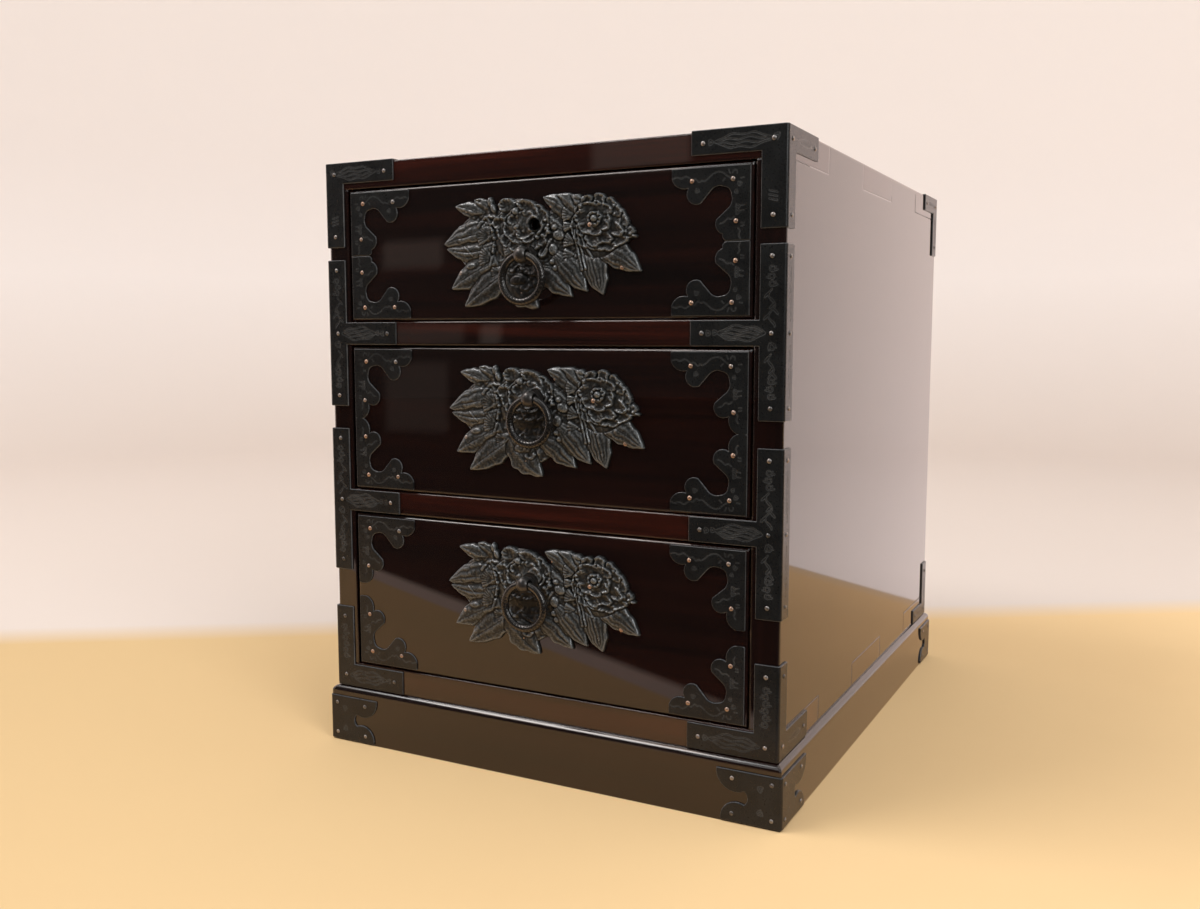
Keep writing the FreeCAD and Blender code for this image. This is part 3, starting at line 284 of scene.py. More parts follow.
def post_iron(colour):
    """Turned or filed iron without ornament."""
    made = Finish("post_iron")
    broad, fine = made.noise(80.0, 3, 0.5), made.noise(1300.0, 2, 0.6)
    shade = made.blend(made.sway(broad, 0.0, 1.0), times(colour, 0.6), times(colour, 1.4))
    made.set(normal=made.bump(fine, 0.15, 0.0001, made.eased(0.0003)))
    return made.set(base_color=shade, metallic=0.7, roughness=made.sway(fine, 0.28, 0.4))


def lock_steel():
    """Lock parts: pale steel rubbed along their length with an abrasive."""
    made = Finish("lock_steel")
    brush = made.noise(1.0, 2, 0.6, 0.0, made.place((40, 2500, 2500)))
    stain = made.spread(made.noise(40.0, 3, 0.6), 0.4, 0.75)
    made.set(base_color=made.blend(stain, (0.5, 0.49, 0.47), (0.3, 0.26, 0.22)), metallic=1.0)
    made.set(normal=made.bump(brush, 0.1, 0.0001, made.eased(0.0003)))
    return made.set(roughness=made.sway(brush, 0.28, 0.45))


def nail_iron():
    """Forged nail heads, some darkened, some rubbed to a copper brown."""
    made = Finish("nail_iron")
    fine = made.noise(900.0, 2, 0.6)
    tone = made.maths("ADD", made.carried("tone"), made.sway(fine, -0.12, 0.12))
    colour = made.ramp(tone, [
        (0.1, (0.06, 0.06, 0.061)), (0.45, (0.25, 0.24, 0.235)), (0.9, (0.38, 0.255, 0.19))])
    made.set(base_color=colour, metallic=0.8, roughness=made.sway(fine, 0.3, 0.45))
    return made.set(normal=made.bump(fine, 0.25, 0.0002))


BLACK_IRON = black_iron((0.0046, 0.0055, 0.0064), (0.142, 0.153, 0.168))
RELIEF_IRON = relief_iron((0.005, 0.0056, 0.0058), (0.0195, 0.0224, 0.024), (0.107, 0.117, 0.125))
RING_IRON = ring_iron((0.01, 0.01, 0.0098), (0.05, 0.049, 0.048))
POST_IRON = post_iron((0.045, 0.043, 0.042))
LOCK_STEEL = lock_steel()
NAIL_IRON = nail_iron()


def of_each_drawer(*parts):
    return [f"{drawer}_drawer_{part}" for drawer in DRAWERS for part in parts]


NODE_FINISHES = [
    (GRAIN_UPRIGHT, ["left_side_board", "right_side_board"]),
    (GRAIN_RAIL, ["top_board", "bottom_board", "back_panel", "upper_rail", "lower_rail"]),
    (GRAIN_ACROSS, ["plinth_front_board", "plinth_back_board"] + of_each_drawer("front")),
    (GRAIN_DEEP, ["plinth_left_board", "plinth_right_board"]),
    (BARE_DEEP, ["upper_dust_board", "lower_dust_board", "drawer_stops"]),
    (BARE_DEEP, of_each_drawer("left_side", "right_side", "floor")),
    (BARE_ACROSS, of_each_drawer("back")),
    (POST_IRON, of_each_drawer("ring_post")),
    (LOCK_STEEL, ["lock_case", "lock_back_plate", "lock_bolt"]),
]
for finish, names in NODE_FINISHES:
    for name in names:
        nodes[name].data.materials.clear()
        nodes[name].data.materials.append(finish)


# Meshes and pieces


def new_mesh(points, faces, smooth=True, unit=MM, **values):
    """A mesh from points and faces; any further values are carried by its points."""
    made = bpy.data.meshes.new("form")
    made.from_pydata((np.asarray(points, float) * unit).tolist(), [], faces)
    for name, value in values.items():
        made.attributes.new(name, "FLOAT", "POINT").data.foreach_set("value", np.asarray(value, np.float32))
    if smooth:
        made.shade_smooth()
    return made


def looped_mesh(points, **options):
    """A mesh over a grid of points that closes on itself both ways."""
    i = np.arange(points.shape[0])[:, None] * points.shape[1]
    j = np.arange(points.shape[1])[None, :]
    i2, j2 = np.roll(i, -1, axis=0), np.roll(j, -1, axis=1)
    faces = np.stack([i + j, i2 + j, i2 + j2, i + j2], axis=-1).reshape(-1, 4)
    return new_mesh(points.reshape(-1, 3), faces.tolist(), **options)


def mesh_of(form):
    made = bpy.data.meshes.new("form")
    form.to_mesh(made)
    form.free()
    return made


def joined(*meshes):
    """Several meshes as one, with their stored wear and painted light kept."""
    form = bmesh.new()
    for mesh in meshes:
        form.from_mesh(mesh)
    return mesh_of(form)


def mirror_image(mesh, axis, about=0.0):
    """A mirror image with its faces turned right way out again."""
    form = bmesh.new()
    form.from_mesh(mesh)
    for vertex in form.verts:
        vertex.co[axis] = 2 * about * MM - vertex.co[axis]
    bmesh.ops.reverse_faces(form, faces=form.faces)
    return mesh_of(form)


def with_mirror_image(mesh, axis, about=0.0):
    return joined(mesh, mirror_image(mesh, axis, about))


def link_object(name, data):
    made = bpy.data.objects.new(name, data)
    bpy.context.scene.collection.objects.link(made)
    return made


def add_object(name, mesh, material):
    mesh.materials.clear()
    mesh.materials.append(material)
    return link_object(name, mesh)


def settle(piece, body, slot, *replaced):
    """Lets a piece ride on its body in place of working-model nodes."""
    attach(piece, body)
    if replaced:
        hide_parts(*replaced)


# Iron sheets: outlines cut from a fine grid, raised, engraved and folded over the boards


def bell(value, middle, width):
    """One at the middle, falling smoothly to nothing a few widths away."""
    return np.exp(-((value - middle) / width) ** 2)


class Sheet:
    """A flat pattern on a grid, later bent into place; height, and wear with painted light, lie on its
    points.
    """

    def __init__(self, low, high, step):
        counts = [int(round((b - a) / step)) + 1 for a, b in zip(low, high)]
        self.u, self.v = (np.linspace(*ends) for ends in zip(low, high, counts))
        self.step = (self.u[1] - self.u[0], self.v[1] - self.v[0])
        self.U, self.V = np.meshgrid(self.u, self.v, indexing="ij")
        self.inside = np.full(self.U.shape, -1e3)
        self.height = np.zeros(self.U.shape)

    def add_box(self, low, high, rounding=0.6):
        self.inside = np.maximum(self.inside, box_inside(self.U, self.V, low, high, rounding))

    def nearness(self, curves, reach):
        """Distance of each grid point to a set of curves, up to a reach."""
        found = np.full(self.U.shape, reach)
        du, dv = self.step
        span_u, span_v = int(reach / du) + 1, int(reach / dv) + 1
        for a, b in np.vstack([evenly(curve, min(du, dv) * 0.7) for curve in curves]):
            i, j = int(round((a - self.u[0]) / du)), int(round((b - self.v[0]) / dv))
            rows = slice(max(0, i - span_u), max(0, i + span_u + 1))
            cols = slice(max(0, j - span_v), max(0, j + span_v + 1))
            patch = found[rows, cols]
            np.minimum(patch, np.hypot(self.U[rows, cols] - a, self.V[rows, cols] - b), out=patch)
        return found

    def engrave(self, curves, width, depth):
        """Cuts grooves with a slight burr along each side."""
        away = self.nearness(curves, width * 4)
        burr = bell(away, width * 1.9, width * 0.8)
        cut = self.height + burr * depth * 0.35 - bell(away, 0, width) * depth
        self.height = np.minimum(cut, self.proudest)
        # painted highlight: the burr beside each cut is painted pale, partly as rubbed metal, partly as the
        # highlight of the cut lines
        self.worn = np.maximum(self.worn, burr * 0.42)

    def round_edges(self, thickness, radius):
        """Fills the height from the distance to the edge, with the rim filed round."""
        near = np.clip(radius - self.inside, 0, radius)
        self.proudest, self.rim_height = thickness, thickness - radius
        self.height = self.rim_height - 0.05 + np.sqrt(radius * radius - near * near)
        self.worn = (near / radius) ** 2

    def back(self, rim, edges, folds):
        """The sheet's back: its rim filled with triangles, with extra points where it folds."""
        rows = [int(round((u - self.u[0]) / self.step[0])) for u in folds]
        extra = [(u, self.v[j]) for i, u in zip(rows, folds)
                 for j in range(2, len(self.v) - 2, 5) if self.inside[i, j] > 0.6]
        flat = np.vstack([rim, np.array(extra).reshape(-1, 2)])
        made = delaunay_2d_cdt([Vector(p) for p in flat.tolist()], edges, [], 1, 1e-6)
        triangles = []
        for face in made[2]:
            a, b, c = (made[3][p][0] for p in face)
            area = np.cross(flat[b] - flat[a], flat[c] - flat[a])
            triangles.append((a, b, c) if area > 0 else (a, c, b))
        seats = np.column_stack([flat, np.zeros((len(flat), 2))])
        return seats, [face[::-1] for face in filled_side(triangles, set(edges))]

    def mesh(self, bend, turned=False, folds=()):
        """Cuts the outline through the grid cells and builds top, walls and back."""
        inside = self.inside
        for border in (inside[0], inside[-1], inside[:, 0], inside[:, -1]):
            np.minimum(border, -0.05, out=border)
        live = inside > 0
        n = np.full(inside.shape, -1)
        n[live] = np.arange(live.sum())
        spots = np.column_stack([grid[live] for grid in (self.U, self.V, self.height, self.worn)]).tolist()
        crossing_of = {}

        def crossing(a, b):
            """The point where the outline cuts the grid line from a to b."""
            key = (a, b) if a < b else (b, a)
            if key not in crossing_of:
                share = min(max(inside[a] / (inside[a] - inside[b]), 0.06), 0.94)
                u, v = (grid[a] + (grid[b] - grid[a]) * share for grid in (self.U, self.V))
                crossing_of[key] = len(spots)
                spots.append([u, v, self.rim_height, self.worn[a if live[a] else b]])
            return crossing_of[key]

        corners = live[:-1, :-1].astype(int) + live[1:, :-1] + live[1:, 1:] + live[:-1, 1:]
        full = corners == 4
        quads = [n[:-1, :-1][full], n[1:, :-1][full], n[1:, 1:][full], n[:-1, 1:][full]]
        faces, walls = np.column_stack(quads).tolist(), []
        for i, j in zip(*np.nonzero((corners > 0) & (corners < 4))):
            ring = [(i, j), (i + 1, j), (i + 1, j + 1), (i, j + 1)]
            polygon, leaving, entering = [], [], []
            for a, b in zip(ring, ring[1:] + ring[:1]):
                if live[a]:
                    polygon.append(int(n[a]))
                if live[a] != live[b]:
                    point = crossing(a, b)
                    (leaving if live[a] else entering).append((len(polygon), point))
                    polygon.append(point)
            faces.append(polygon)
            for at, point in leaving:
                after = [e for e in entering if e[0] > at] or entering
                walls.append((point, min(after)[1]))
        total, spots = len(spots), np.array(spots)
        rim = sorted({p for wall in walls for p in wall})
        seat = {p: k for k, p in enumerate(rim)}
        seats, back = self.back(spots[rim, :2], [(seat[a], seat[b]) for a, b in walls], folds)
        faces += [(a, total + seat[a], total + seat[b], b) for a, b in walls]
        faces += [[total + p for p in face] for face in back]
        if turned:
            faces = [face[::-1] for face in faces]
        u, v, height, worn = np.vstack([spots, seats]).T
        made = new_mesh(np.column_stack(bend(u, v, height)), faces, worn=worn)
        made.set_sharp_from_angle(angle=math.radians(52))
        return made


def filled_side(triangles, walls):
    """The triangles on the filled side of the walls, which have it on their left."""
    beside, held = {}, []
    for index, (a, b, c) in enumerate(triangles):
        for edge in ((a, b), (b, c), (c, a)):
            beside[edge] = index
            if edge in walls:
                held.append(index)
    found = set(held)
    while held:
        a, b, c = triangles[held.pop()]
        for p, q in ((a, b), (b, c), (c, a)):
            other = beside.get((q, p))
            if (p, q) not in walls and other is not None and other not in found:
                found.add(other)
                held.append(other)
    return [triangles[index] for index in sorted(found)]


def evenly(curve, spacing):
    """Points at an even spacing along a polyline."""
    curve = np.asarray(curve, float)
    along = np.concatenate([[0], np.cumsum(np.hypot(*np.diff(curve, axis=0).T))])
    marks = np.linspace(0, along[-1], max(2, int(along[-1] / spacing) + 1))
    return np.column_stack([np.interp(marks, along, part) for part in curve.T])


def flowing(points):
    """A smooth curve through its points."""
    p = np.asarray(points, float)
    p = np.vstack([2 * p[0] - p[1], p, 2 * p[-1] - p[-2]])
    t = np.linspace(0, 1, 6, endpoint=False)[:, None]
    parts = []
    for a, b, c, d in zip(p[:-3], p[1:-2], p[2:-1], p[3:]):
        bent = (2 * a - 5 * b + 4 * c - d) * t ** 2 + (3 * b - a - 3 * c + d) * t ** 3
        parts.append(0.5 * (2 * b + (c - a) * t + bent))
    return np.vstack([*parts, p[-2:-1]])


def box_inside(U, V, low, high, rounding):
    """Distance inside a rectangle with slightly rounded corners."""
    du = np.maximum(low[0] + rounding - U, U - high[0] + rounding)
    dv = np.maximum(low[1] + rounding - V, V - high[1] + rounding)
    outside = np.hypot(np.maximum(du, 0), np.maximum(dv, 0)) + np.minimum(np.maximum(du, dv), 0)
    return rounding - outside


def polygon_inside(U, V, outline):
    """Signed distance to a closed outline, positive inside."""
    near = np.full(U.shape, 1e6)
    odd = np.zeros(U.shape, bool)
    for (ax, ay), (bx, by) in zip(outline, np.roll(outline, -1, axis=0)):
        ex, ey = bx - ax, by - ay
        share = np.clip(((U - ax) * ex + (V - ay) * ey) / (ex * ex + ey * ey), 0, 1)
        near = np.minimum(near, (U - ax - share * ex) ** 2 + (V - ay - share * ey) ** 2)
        if ay != by:
            odd ^= ((V < ay) != (V < by)) & (U < ax + (V - ay) * ex / ey)
    return np.where(odd, 1, -1) * np.sqrt(near)


# Engraved ornament: wavy strands, hooks and small curls


def drawn_from(start, end):
    """The length from start to end, and a map from distances along and beside it to places."""
    length = math.dist(start, end)
    along = np.subtract(end, start) / length
    aside = np.array([-along[1], along[0]])
    return length, lambda ahead, off: start + np.outer(ahead, along) + np.outer(off, aside)


def alternating(count):
    """Numbers from nought, each with a sign that changes at every step."""
    return [(number, -1 if number % 2 else 1) for number in range(count)]


def strands(start, end, swing, count):
    """Wavy lines that leave one point, spread and meet again."""
    length, at = drawn_from(start, end)
    t = np.linspace(0, 1, 40)
    arch = np.sin(math.pi * t)
    curves = []
    for number in range(count):
        bow = arch ** 0.7 * swing * (number / (count - 1) * 2 - 1)
        ripple = np.sin(2 * math.pi * length / 15 * t + number * 1.3) * 0.17 * swing * arch ** 0.5
        curves.append(at(t * length, bow + ripple))
    return curves


def vine(start, end, swing):
    """A stem winding from side to side with small pointed leaves along it."""
    length, at = drawn_from(start, end)
    pitch, turns = 3.4, max(1.0, length / 13)

    def wind(share):
        return np.sin(2 * math.pi * turns * share) * swing * 0.45

    t, reach = np.linspace(0, 1, 48), np.linspace(0, 1, 7)
    curves = [at(t * length, wind(t))]
    for number, way in alternating(int(length / pitch)):
        share = (number + 0.5) * pitch / length
        for belly in (0.45, -0.25):
            leaf = way * (reach * swing * 0.62 + np.sin(math.pi * reach) * belly)
            curves.append(at(share * length + reach * pitch * 0.9, wind(share) + leaf))
    return curves


def hooks(start, end, swing):
    """A row of J hooks with a comma beside each, turning from side to side."""
    length, at = drawn_from(start, end)
    pitch = 4.6
    turn, stem, stroke = np.linspace(-0.5, 3.6, 14), np.linspace(1, 0, 5), np.linspace(-0.3, 0.3, 5)
    ahead = np.concatenate([0.42 * np.cos(turn[0]) - 0.2 * stem, 0.42 * np.cos(turn)])
    off = np.concatenate([0.42 * np.sin(turn[0]) - 0.75 * stem, 0.42 * np.sin(turn)])
    comma = np.array([0, 0.12, 0.16, 0.12, 0]) - 0.62
    curves = []
    for number, way in alternating(max(1, int(length / pitch))):
        middle = pitch * (number + 0.5)
        curves.append(at(middle + ahead * swing, off * swing * way))
        curves.append(at(middle + stroke * swing, comma * swing * way))
    return curves


def curl(centre, size, turn=0.0):
    """A small closed curl with two strokes beside it, like an eye."""
    about = np.linspace(0.4, 2 * math.pi + 0.1, 16)
    shapes = [np.column_stack([np.cos(about), np.sin(about) * 0.8]) * size * 0.42]
    for way in (1, -1):
        shapes.append(np.array([(-0.4, way * 0.75), (0.2, way * 0.62), (0.75, way * 0.2)]) * size * 0.75)
    c, s = math.cos(turn), math.sin(turn)
    return [shape @ ((c, s), (-s, c)) + centre for shape in shapes]


def lens(start, end, swing, hatches):
    """A long pointed leaf of two bowed lines with short hatching inside."""
    length, at = drawn_from(start, end)
    t = np.linspace(0, 1, 16)
    curves = [at(t * length, np.sin(math.pi * t) * swing * way) for way in (1, -0.8)]
    for share in np.linspace(0.16, 0.84, hatches):
        reach = math.sin(math.pi * share) * swing
        curves.append(at([share * length, (share + 0.05) * length], [-0.7 * reach, 0.8 * reach]))
    return curves


def strokes(*ends):
    """Short straight lines, each given by its two ends."""
    return [np.array(pair) for pair in ends]


# Straps round the case's corners: their thickness and the outer radius of the fold

IRON = 1.3
FOLD = 2.4
HALF_FOLD = FOLD * math.pi / 4
FOLD_LINES = [HALF_FOLD * share for share in (-1, -0.5, 0, 0.5, 1)]


def round_the_corner(half, front):
    """Bends a strip round the right front corner: u runs to the left on the front, back on the side."""
    def bend(u, v, h):
        turn = np.clip((HALF_FOLD - u) / (2 * HALF_FOLD), 0, 1) * math.pi / 2
        reach = FOLD + h - IRON
        x = half + IRON - FOLD + reach * np.sin(turn) - np.maximum(u - HALF_FOLD, 0)
        y = front - IRON + FOLD - reach * np.cos(turn) + np.maximum(-u - HALF_FOLD, 0)
        return x, y, v
    return bend


def along_front(distance):
    """Pattern place of a point on the front, from its distance to the case's own corner."""
    return distance + IRON - FOLD + HALF_FOLD


def along_side(distance):
    return -along_front(distance)


def folded_strap(boxes, lines):
    """A strap from boxes in the developed pattern (u, z), engraved and folded."""
    boxes = np.array(boxes)
    sheet = Sheet(boxes[:, :2].min(0) - 0.5, boxes[:, 2:].max(0) + 0.5, 0.36)
    for box in boxes:
        sheet.add_box(box[:2], box[2:])
    sheet.round_edges(IRON, 0.5)
    sheet.engrave(lines, 0.24, 0.16)
    return sheet.mesh(round_the_corner(CASE_HALF, FRONT_Y), turned=True, folds=FOLD_LINES)


def lid_plate(across, deep, band, lines=()):
    """The part on the case's top: two arms of one breadth, across and back from the corner."""
    plate = Sheet((0, 0), (across + IRON + 0.5, deep + IRON + 0.5), 0.4)
    for high in ((across, band), (band, deep)):
        plate.add_box((0.55, 0.55), np.add(high, IRON), 0.7)
    plate.round_edges(IRON - 0.02, 0.4)
    if lines:
        plate.engrave(lines, 0.24, 0.16)
    return plate.mesh(lambda u, v, h: (CASE_HALF + IRON - u, FRONT_Y - IRON + v, CASE_TOP + h), turned=True)


# Breadths of the upright part on the front and the side, and the reach of the front arm

STRAP, STRAP_SIDE, ARM = 16.0, 14.0, 62.6
STILE, CHEEK, TIP = along_front(STRAP), along_side(STRAP_SIDE), along_front(ARM)
CENTRE = along_front(STRAP / 2)
LID_TOP, FOOT = CASE_TOP + IRON - 0.05, PLINTH_TOP + 0.5
END_CURL = 13


def arm_lines(mid, inner, swing):
    """The front arm's curl with strands running from it to the upright part."""
    return curl((TIP - END_CURL, mid), 2.6, math.pi) + strands((TIP - 16, mid), (inner, mid), swing, 4)


def top_iron():
    drop, band, side_arm = 61.0, 14.2, 60.0
    low, arm_low, side_tip = CASE_TOP - drop, CASE_TOP - band, along_side(side_arm)
    mid = (arm_low + LID_TOP) / 2 - 0.5
    lines = arm_lines(mid, STILE - 7, 4.2) + curl((STILE - 10, mid + 1), 3.0, 0.4)
    for up in (16.5, 19, 21.5):
        lines += strokes([(along_front(5.5), low + up), (along_front(10.5), low + up + 1.2)])
    lines += lens((side_tip + END_CURL, mid), (CHEEK - 4, mid), 2.2, 9)
    front = folded_strap([(CHEEK, low, STILE, LID_TOP), (side_tip, arm_low, TIP, LID_TOP)], lines)
    lid_lines = strands((14, 7.6), (52, 7.6), 3.6, 3) + strands((7.6, 14), (7.6, 49), 3.6, 3)
    return joined(front, lid_plate(ARM, side_arm, band, lid_lines))


def tee_iron(rail):
    """A T iron whose arm covers a rail's end."""
    rail_low, rail_high = (corner[Z] for corner in node_box(rail))
    low, high, upright = rail_low + 0.4, rail_high - 0.4, 46.6
    foot, head, mid = low - upright, high + upright, (low + high) / 2
    lines = hooks((CENTRE, head - 13), (CENTRE, head - 28), 3.6)
    lines += vine((CENTRE, head - 28), (CENTRE, mid + 4), 4.8)
    lines += curl((CENTRE - 0.5, mid - 8.5), 4.4, 1.2) + vine((CENTRE, mid - 13), (CENTRE, foot + 27), 4.2)
    lines += hooks((CENTRE, foot + 27), (CENTRE, foot + 13), 3.4)
    lines += curl((TIP - 12.5, mid), 2.6, math.pi) + curl((TIP - 17, mid + 0.4), 2.4, math.pi)
    lines += strands((TIP - 19, mid), (CENTRE + 4, mid), 4.6, 5)
    for upper, lower in ((head - 14, mid + 7), (mid - 7, foot + 14)):
        lines += lens((CHEEK + 6.5, upper), (CHEEK + 6.5, lower), 1.7, 7)
    return folded_strap([(CHEEK, foot, STILE, head), (CHEEK, low, TIP, high)], lines)


def bottom_iron():
    band, head, side_tip = PLINTH_TOP + 18.2, PLINTH_TOP + 64.0, along_side(59.0)
    mid = (FOOT + band) / 2
    lines = arm_lines(mid, STILE - 4, 4.6) + hooks((CENTRE, head - 14), (CENTRE, band + 3), 3.6)
    lines += lens((side_tip + END_CURL, mid), (CHEEK - 4, mid), 2.4, 9)
    return folded_strap([(CHEEK, FOOT, STILE, head), (side_tip, FOOT, TIP, band)], lines)


def add_iron(name, mesh, body, node):
    """Puts an engraved iron in the chest on its body, in place of its working-model node."""
    settle(add_object(name, mesh, BLACK_IRON), body, "black_iron", node)


FRONT_IRONS = {
    "top_corner_iron": top_iron(), "upper_t_iron": tee_iron("upper_rail"),
    "lower_t_iron": tee_iron("lower_rail"), "bottom_corner_iron": bottom_iron(),
}
for stem, right in FRONT_IRONS.items():
    for hand, mesh in (("right", right), ("left", mirror_image(right, X))):
        add_iron(f"{hand}_{stem}_engraved", mesh, "case", f"{hand}_{stem}")


def rear_irons():
    """Rear corner irons, drawn at the front and mirrored across the case's middle depth."""
    wide, tall, band = 16.0, 52.0, 13.0
    wrap, cheek, side_tip = along_front(wide), along_side(wide), along_side(tall)
    corners = [
        # name, low and high edge of the upright and of the arm, the arm's and the upright's leaf
        ("rear_top_corner_irons", CASE_TOP - tall, LID_TOP, CASE_TOP - band, LID_TOP,
         CASE_TOP - 6.0, CASE_TOP - 40, CASE_TOP - 17),
        ("rear_bottom_corner_irons", FOOT, PLINTH_TOP + tall, FOOT, PLINTH_TOP + band,
         PLINTH_TOP + 6.6, PLINTH_TOP + 18.6, PLINTH_TOP + 40.6),
    ]
    for name, low, high, arm_low, arm_high, mid, leaf_low, leaf_high in corners:
        lines = lens((side_tip + 12, mid), (cheek - 3, mid), 2.0, 7)
        lines += lens((cheek + 7.5, leaf_low), (cheek + 7.5, leaf_high), 2.0, 6)
        form = folded_strap([(cheek, low, wrap, high), (side_tip, arm_low, wrap, arm_high)], lines)
        if high == LID_TOP:
            form = joined(form, lid_plate(wide, tall, band))
        right = mirror_image(form, Y, (FRONT_Y + BACK_Y) / 2)
        add_iron(name + "_engraved", with_mirror_image(right, X), "case", name)


rear_irons()


# Relief plates: one pattern of two peonies, shell-like buds and leaves, chased on each plate


def eased_step(value):
    value = np.clip(value, 0, 1)
    return value * value * (3 - 2 * value)


BLOOM_HEARTS = [(-6.5, 19.5), (44.4, 20.2)]
HALF_WIDE, HALF_TALL = 78.0, 39.0


class Relief(Sheet):
    """A sheet whose forms are laid over one another, each with a chased line round it."""

    def __init__(self):
        super().__init__((-HALF_WIDE, -HALF_TALL), (HALF_WIDE, HALF_TALL), 0.36)

    def lay(self, near, height, edge=0.55, cut=None):
        """Lays a form over what is there: near is the distance inside its outline."""
        share = eased_step(near / edge)
        self.height = self.height * (1 - share) + height * share
        self.height -= 0.3 * bell(near, -0.28, 0.36) if cut is None else cut
        self.inside = np.maximum(self.inside, near)

    def away_from(self, centre):
        return np.hypot(self.U - centre[0], self.V - centre[1])

    def turned(self, centre, degrees):
        """The grid's places seen from a centre, turned."""
        c, s = math.cos(math.radians(degrees)), math.sin(math.radians(degrees))
        x, y = self.U - centre[0], self.V - centre[1]
        return x * c + y * s, y * c - x * s

    def flower(self, heart, middle, rings, luck):
        """Rings of petals from the rim inward, their middles drifting to the heart."""
        for number, (across, up, count, size, floor, rim) in enumerate(rings):
            share = number / (len(rings) - 1)
            centre = np.array(middle) * (1 - share) + np.array(heart) * share
            start = luck.uniform(0, 6.28)
            for k in range(count):
                angle = start + 2 * math.pi * (k + luck.uniform(-0.2, 0.2)) / count
                reach = np.array((math.cos(angle) * across, math.sin(angle) * up))
                spot = centre + reach * luck.uniform(0.92, 1.05)
                half = (size * luck.uniform(0.9, 1.25), size * luck.uniform(0.6, 0.78))
                self.petal(spot, half, math.degrees(angle) + 90 + luck.uniform(-18, 18), floor, rim)

    def leaf(self, base, tip, half, bow, ridges, rise):
        """A leaf bowed along its midrib, with lengthwise folds, fine barbs and a raised rim."""
        length = math.dist(base, tip)
        along = np.subtract(tip, base) / length
        x, y = self.U - base[0], self.V - base[1]
        share = (x * along[0] + y * along[1]) / length
        held = np.clip(share, 0, 1)
        off = (y * along[0] - x * along[1]) * (1 if along[0] >= 0 else -1) - bow * 4 * held * (1 - held)
        wave = 1 + 0.05 * np.sin(held * 23 + half) + 0.04 * self.coarse
        width = half * np.clip(np.sin(math.pi * (0.12 + 0.88 * held) ** 0.95), 0, 1) ** 0.8 * wave
        beyond = np.where(share > 1, share - 1, share) * length
        near = np.where((share > 0) & (share < 1), width - np.abs(off), -np.hypot(off, beyond) - 0.2)
        across = np.clip(off / np.maximum(width, 0.3), -1.4, 1.4)
        body = 1.25 + rise * (1 - 0.7 * across ** 2) * (0.55 + 0.45 * np.sin(math.pi * held ** 0.7) ** 0.6)
        flow = np.cos(math.pi * ridges * (across * 0.92 + 0.2 * held + 0.07 * self.coarse))
        body += 0.2 * flow * np.clip(near / 1.2, 0, 1) * (1 + 0.3 * self.coarse)
        barbs = np.cos((share * length + np.abs(off) * 0.8) * 3.4 + self.coarse)
        body += 0.05 * barbs * np.clip(near, 0, 1)
        body -= 0.34 * bell(off, 0, 0.4) * np.clip((1 - held) * 4, 0, 1)
        body += 0.22 * bell(near, 0.8, 0.5) * (1 + 0.5 * self.medium)
        self.lay(near, body * (0.35 + 0.65 * eased_step(near / 0.9 + 0.15)), 0.5)

    def petal(self, centre, half, degrees, floor, rim):
        """A cupped petal: smooth hollow, crinkled lip, highest on the side away from the heart."""
        x, y = self.turned(centre, degrees)
        angle, out = np.arctan2(y / half[1], x / half[0]), np.hypot(x / half[0], y / half[1])
        out *= 1 + 0.055 * np.sin(3 * angle + half[0] * 5) + 0.03 * np.sin(7 * angle + half[1] * 3)
        near = (1 - out) * min(half)
        heart = min(BLOOM_HEARTS, key=lambda h: math.dist(h, centre))
        away = math.atan2(centre[1] - heart[1], centre[0] - heart[0])
        lean = np.cos(np.arctan2(self.V - centre[1], self.U - centre[0]) - away)
        outer = eased_step((lean + 0.75) / 1.3) if math.dist(heart, centre) > 1 else np.ones_like(lean)
        folds = np.cos(angle * round(1.3 * max(half)) + 1.5 * self.coarse + out * 2)
        crinkle = np.clip(0.76 + 0.14 * self.medium + 0.14 * folds, 0.2, 1.15)
        lip = bell(out, 0.8, 0.2) * crinkle * (0.3 + 0.7 * outer)
        dish = floor + (rim - floor) * (lip * 0.38 + 0.72 * np.clip(out, 0, 1) ** 1.6 * outer * crinkle)
        veins = 0.1 * folds * np.clip(out * 1.5 - 0.35, 0, 1) + 0.05 * self.medium
        self.lay(near, dish + veins, 0.45 + 2.2 * (1 - outer), 0.34 * outer * bell(near, -0.3, 0.38))

    def fan(self, hub, radius, degrees, half_spread, ribs, height):
        """A ribbed fold of a bud, opening out from its hub."""
        x, y = self.turned(hub, degrees)
        out, angle = np.hypot(x, y), np.degrees(np.arctan2(y, x))
        phase = angle / half_spread * ribs * math.pi / 2
        scallop = radius * (0.985 + 0.015 * np.cos(phase * 2) + 0.03 * self.coarse)
        beside = (half_spread - np.abs(angle)) * math.pi / 180 * np.maximum(out, 0.1)
        near = np.minimum.reduce([scallop - out, beside, out - radius * 0.12])
        swell = height - 1.0 * ((out / radius - 0.62) / 0.5) ** 2
        rib = (1 - np.abs(np.sin(phase))) ** 1.3 * np.clip(out / radius * 1.4 - 0.15, 0, 1)
        self.lay(near, swell - 0.35 + 0.7 * rib, 0.7)

    def knob(self, centre, half, degrees, height):
        """A domed seed or bead; the larger ones carry rings."""
        x, y = self.turned(centre, degrees)
        out = np.hypot(x / half[0], y / half[1])
        dome = height - 1.5 * np.clip(out, 0, 1.2) ** 2 * min(min(half) / 2.2, 1)
        if min(half) > 2.6:
            dome += 0.16 * np.cos(out * 13 + x * 0.4)
        self.lay((1 - out) * min(half), dome, 0.5)

    def ridge(self, path, half_width, rise):
        away = self.nearness([flowing(path)], half_width * 3)
        self.height += rise * bell(away, 0, half_width)
        self.height -= 0.3 * bell(away, half_width * 1.9, half_width * 0.6)

    def disc(self, centre, radius, height):
        self.lay(radius - self.away_from(centre), height + 0.22 * self.medium + 0.25 * self.coarse, 1.2)

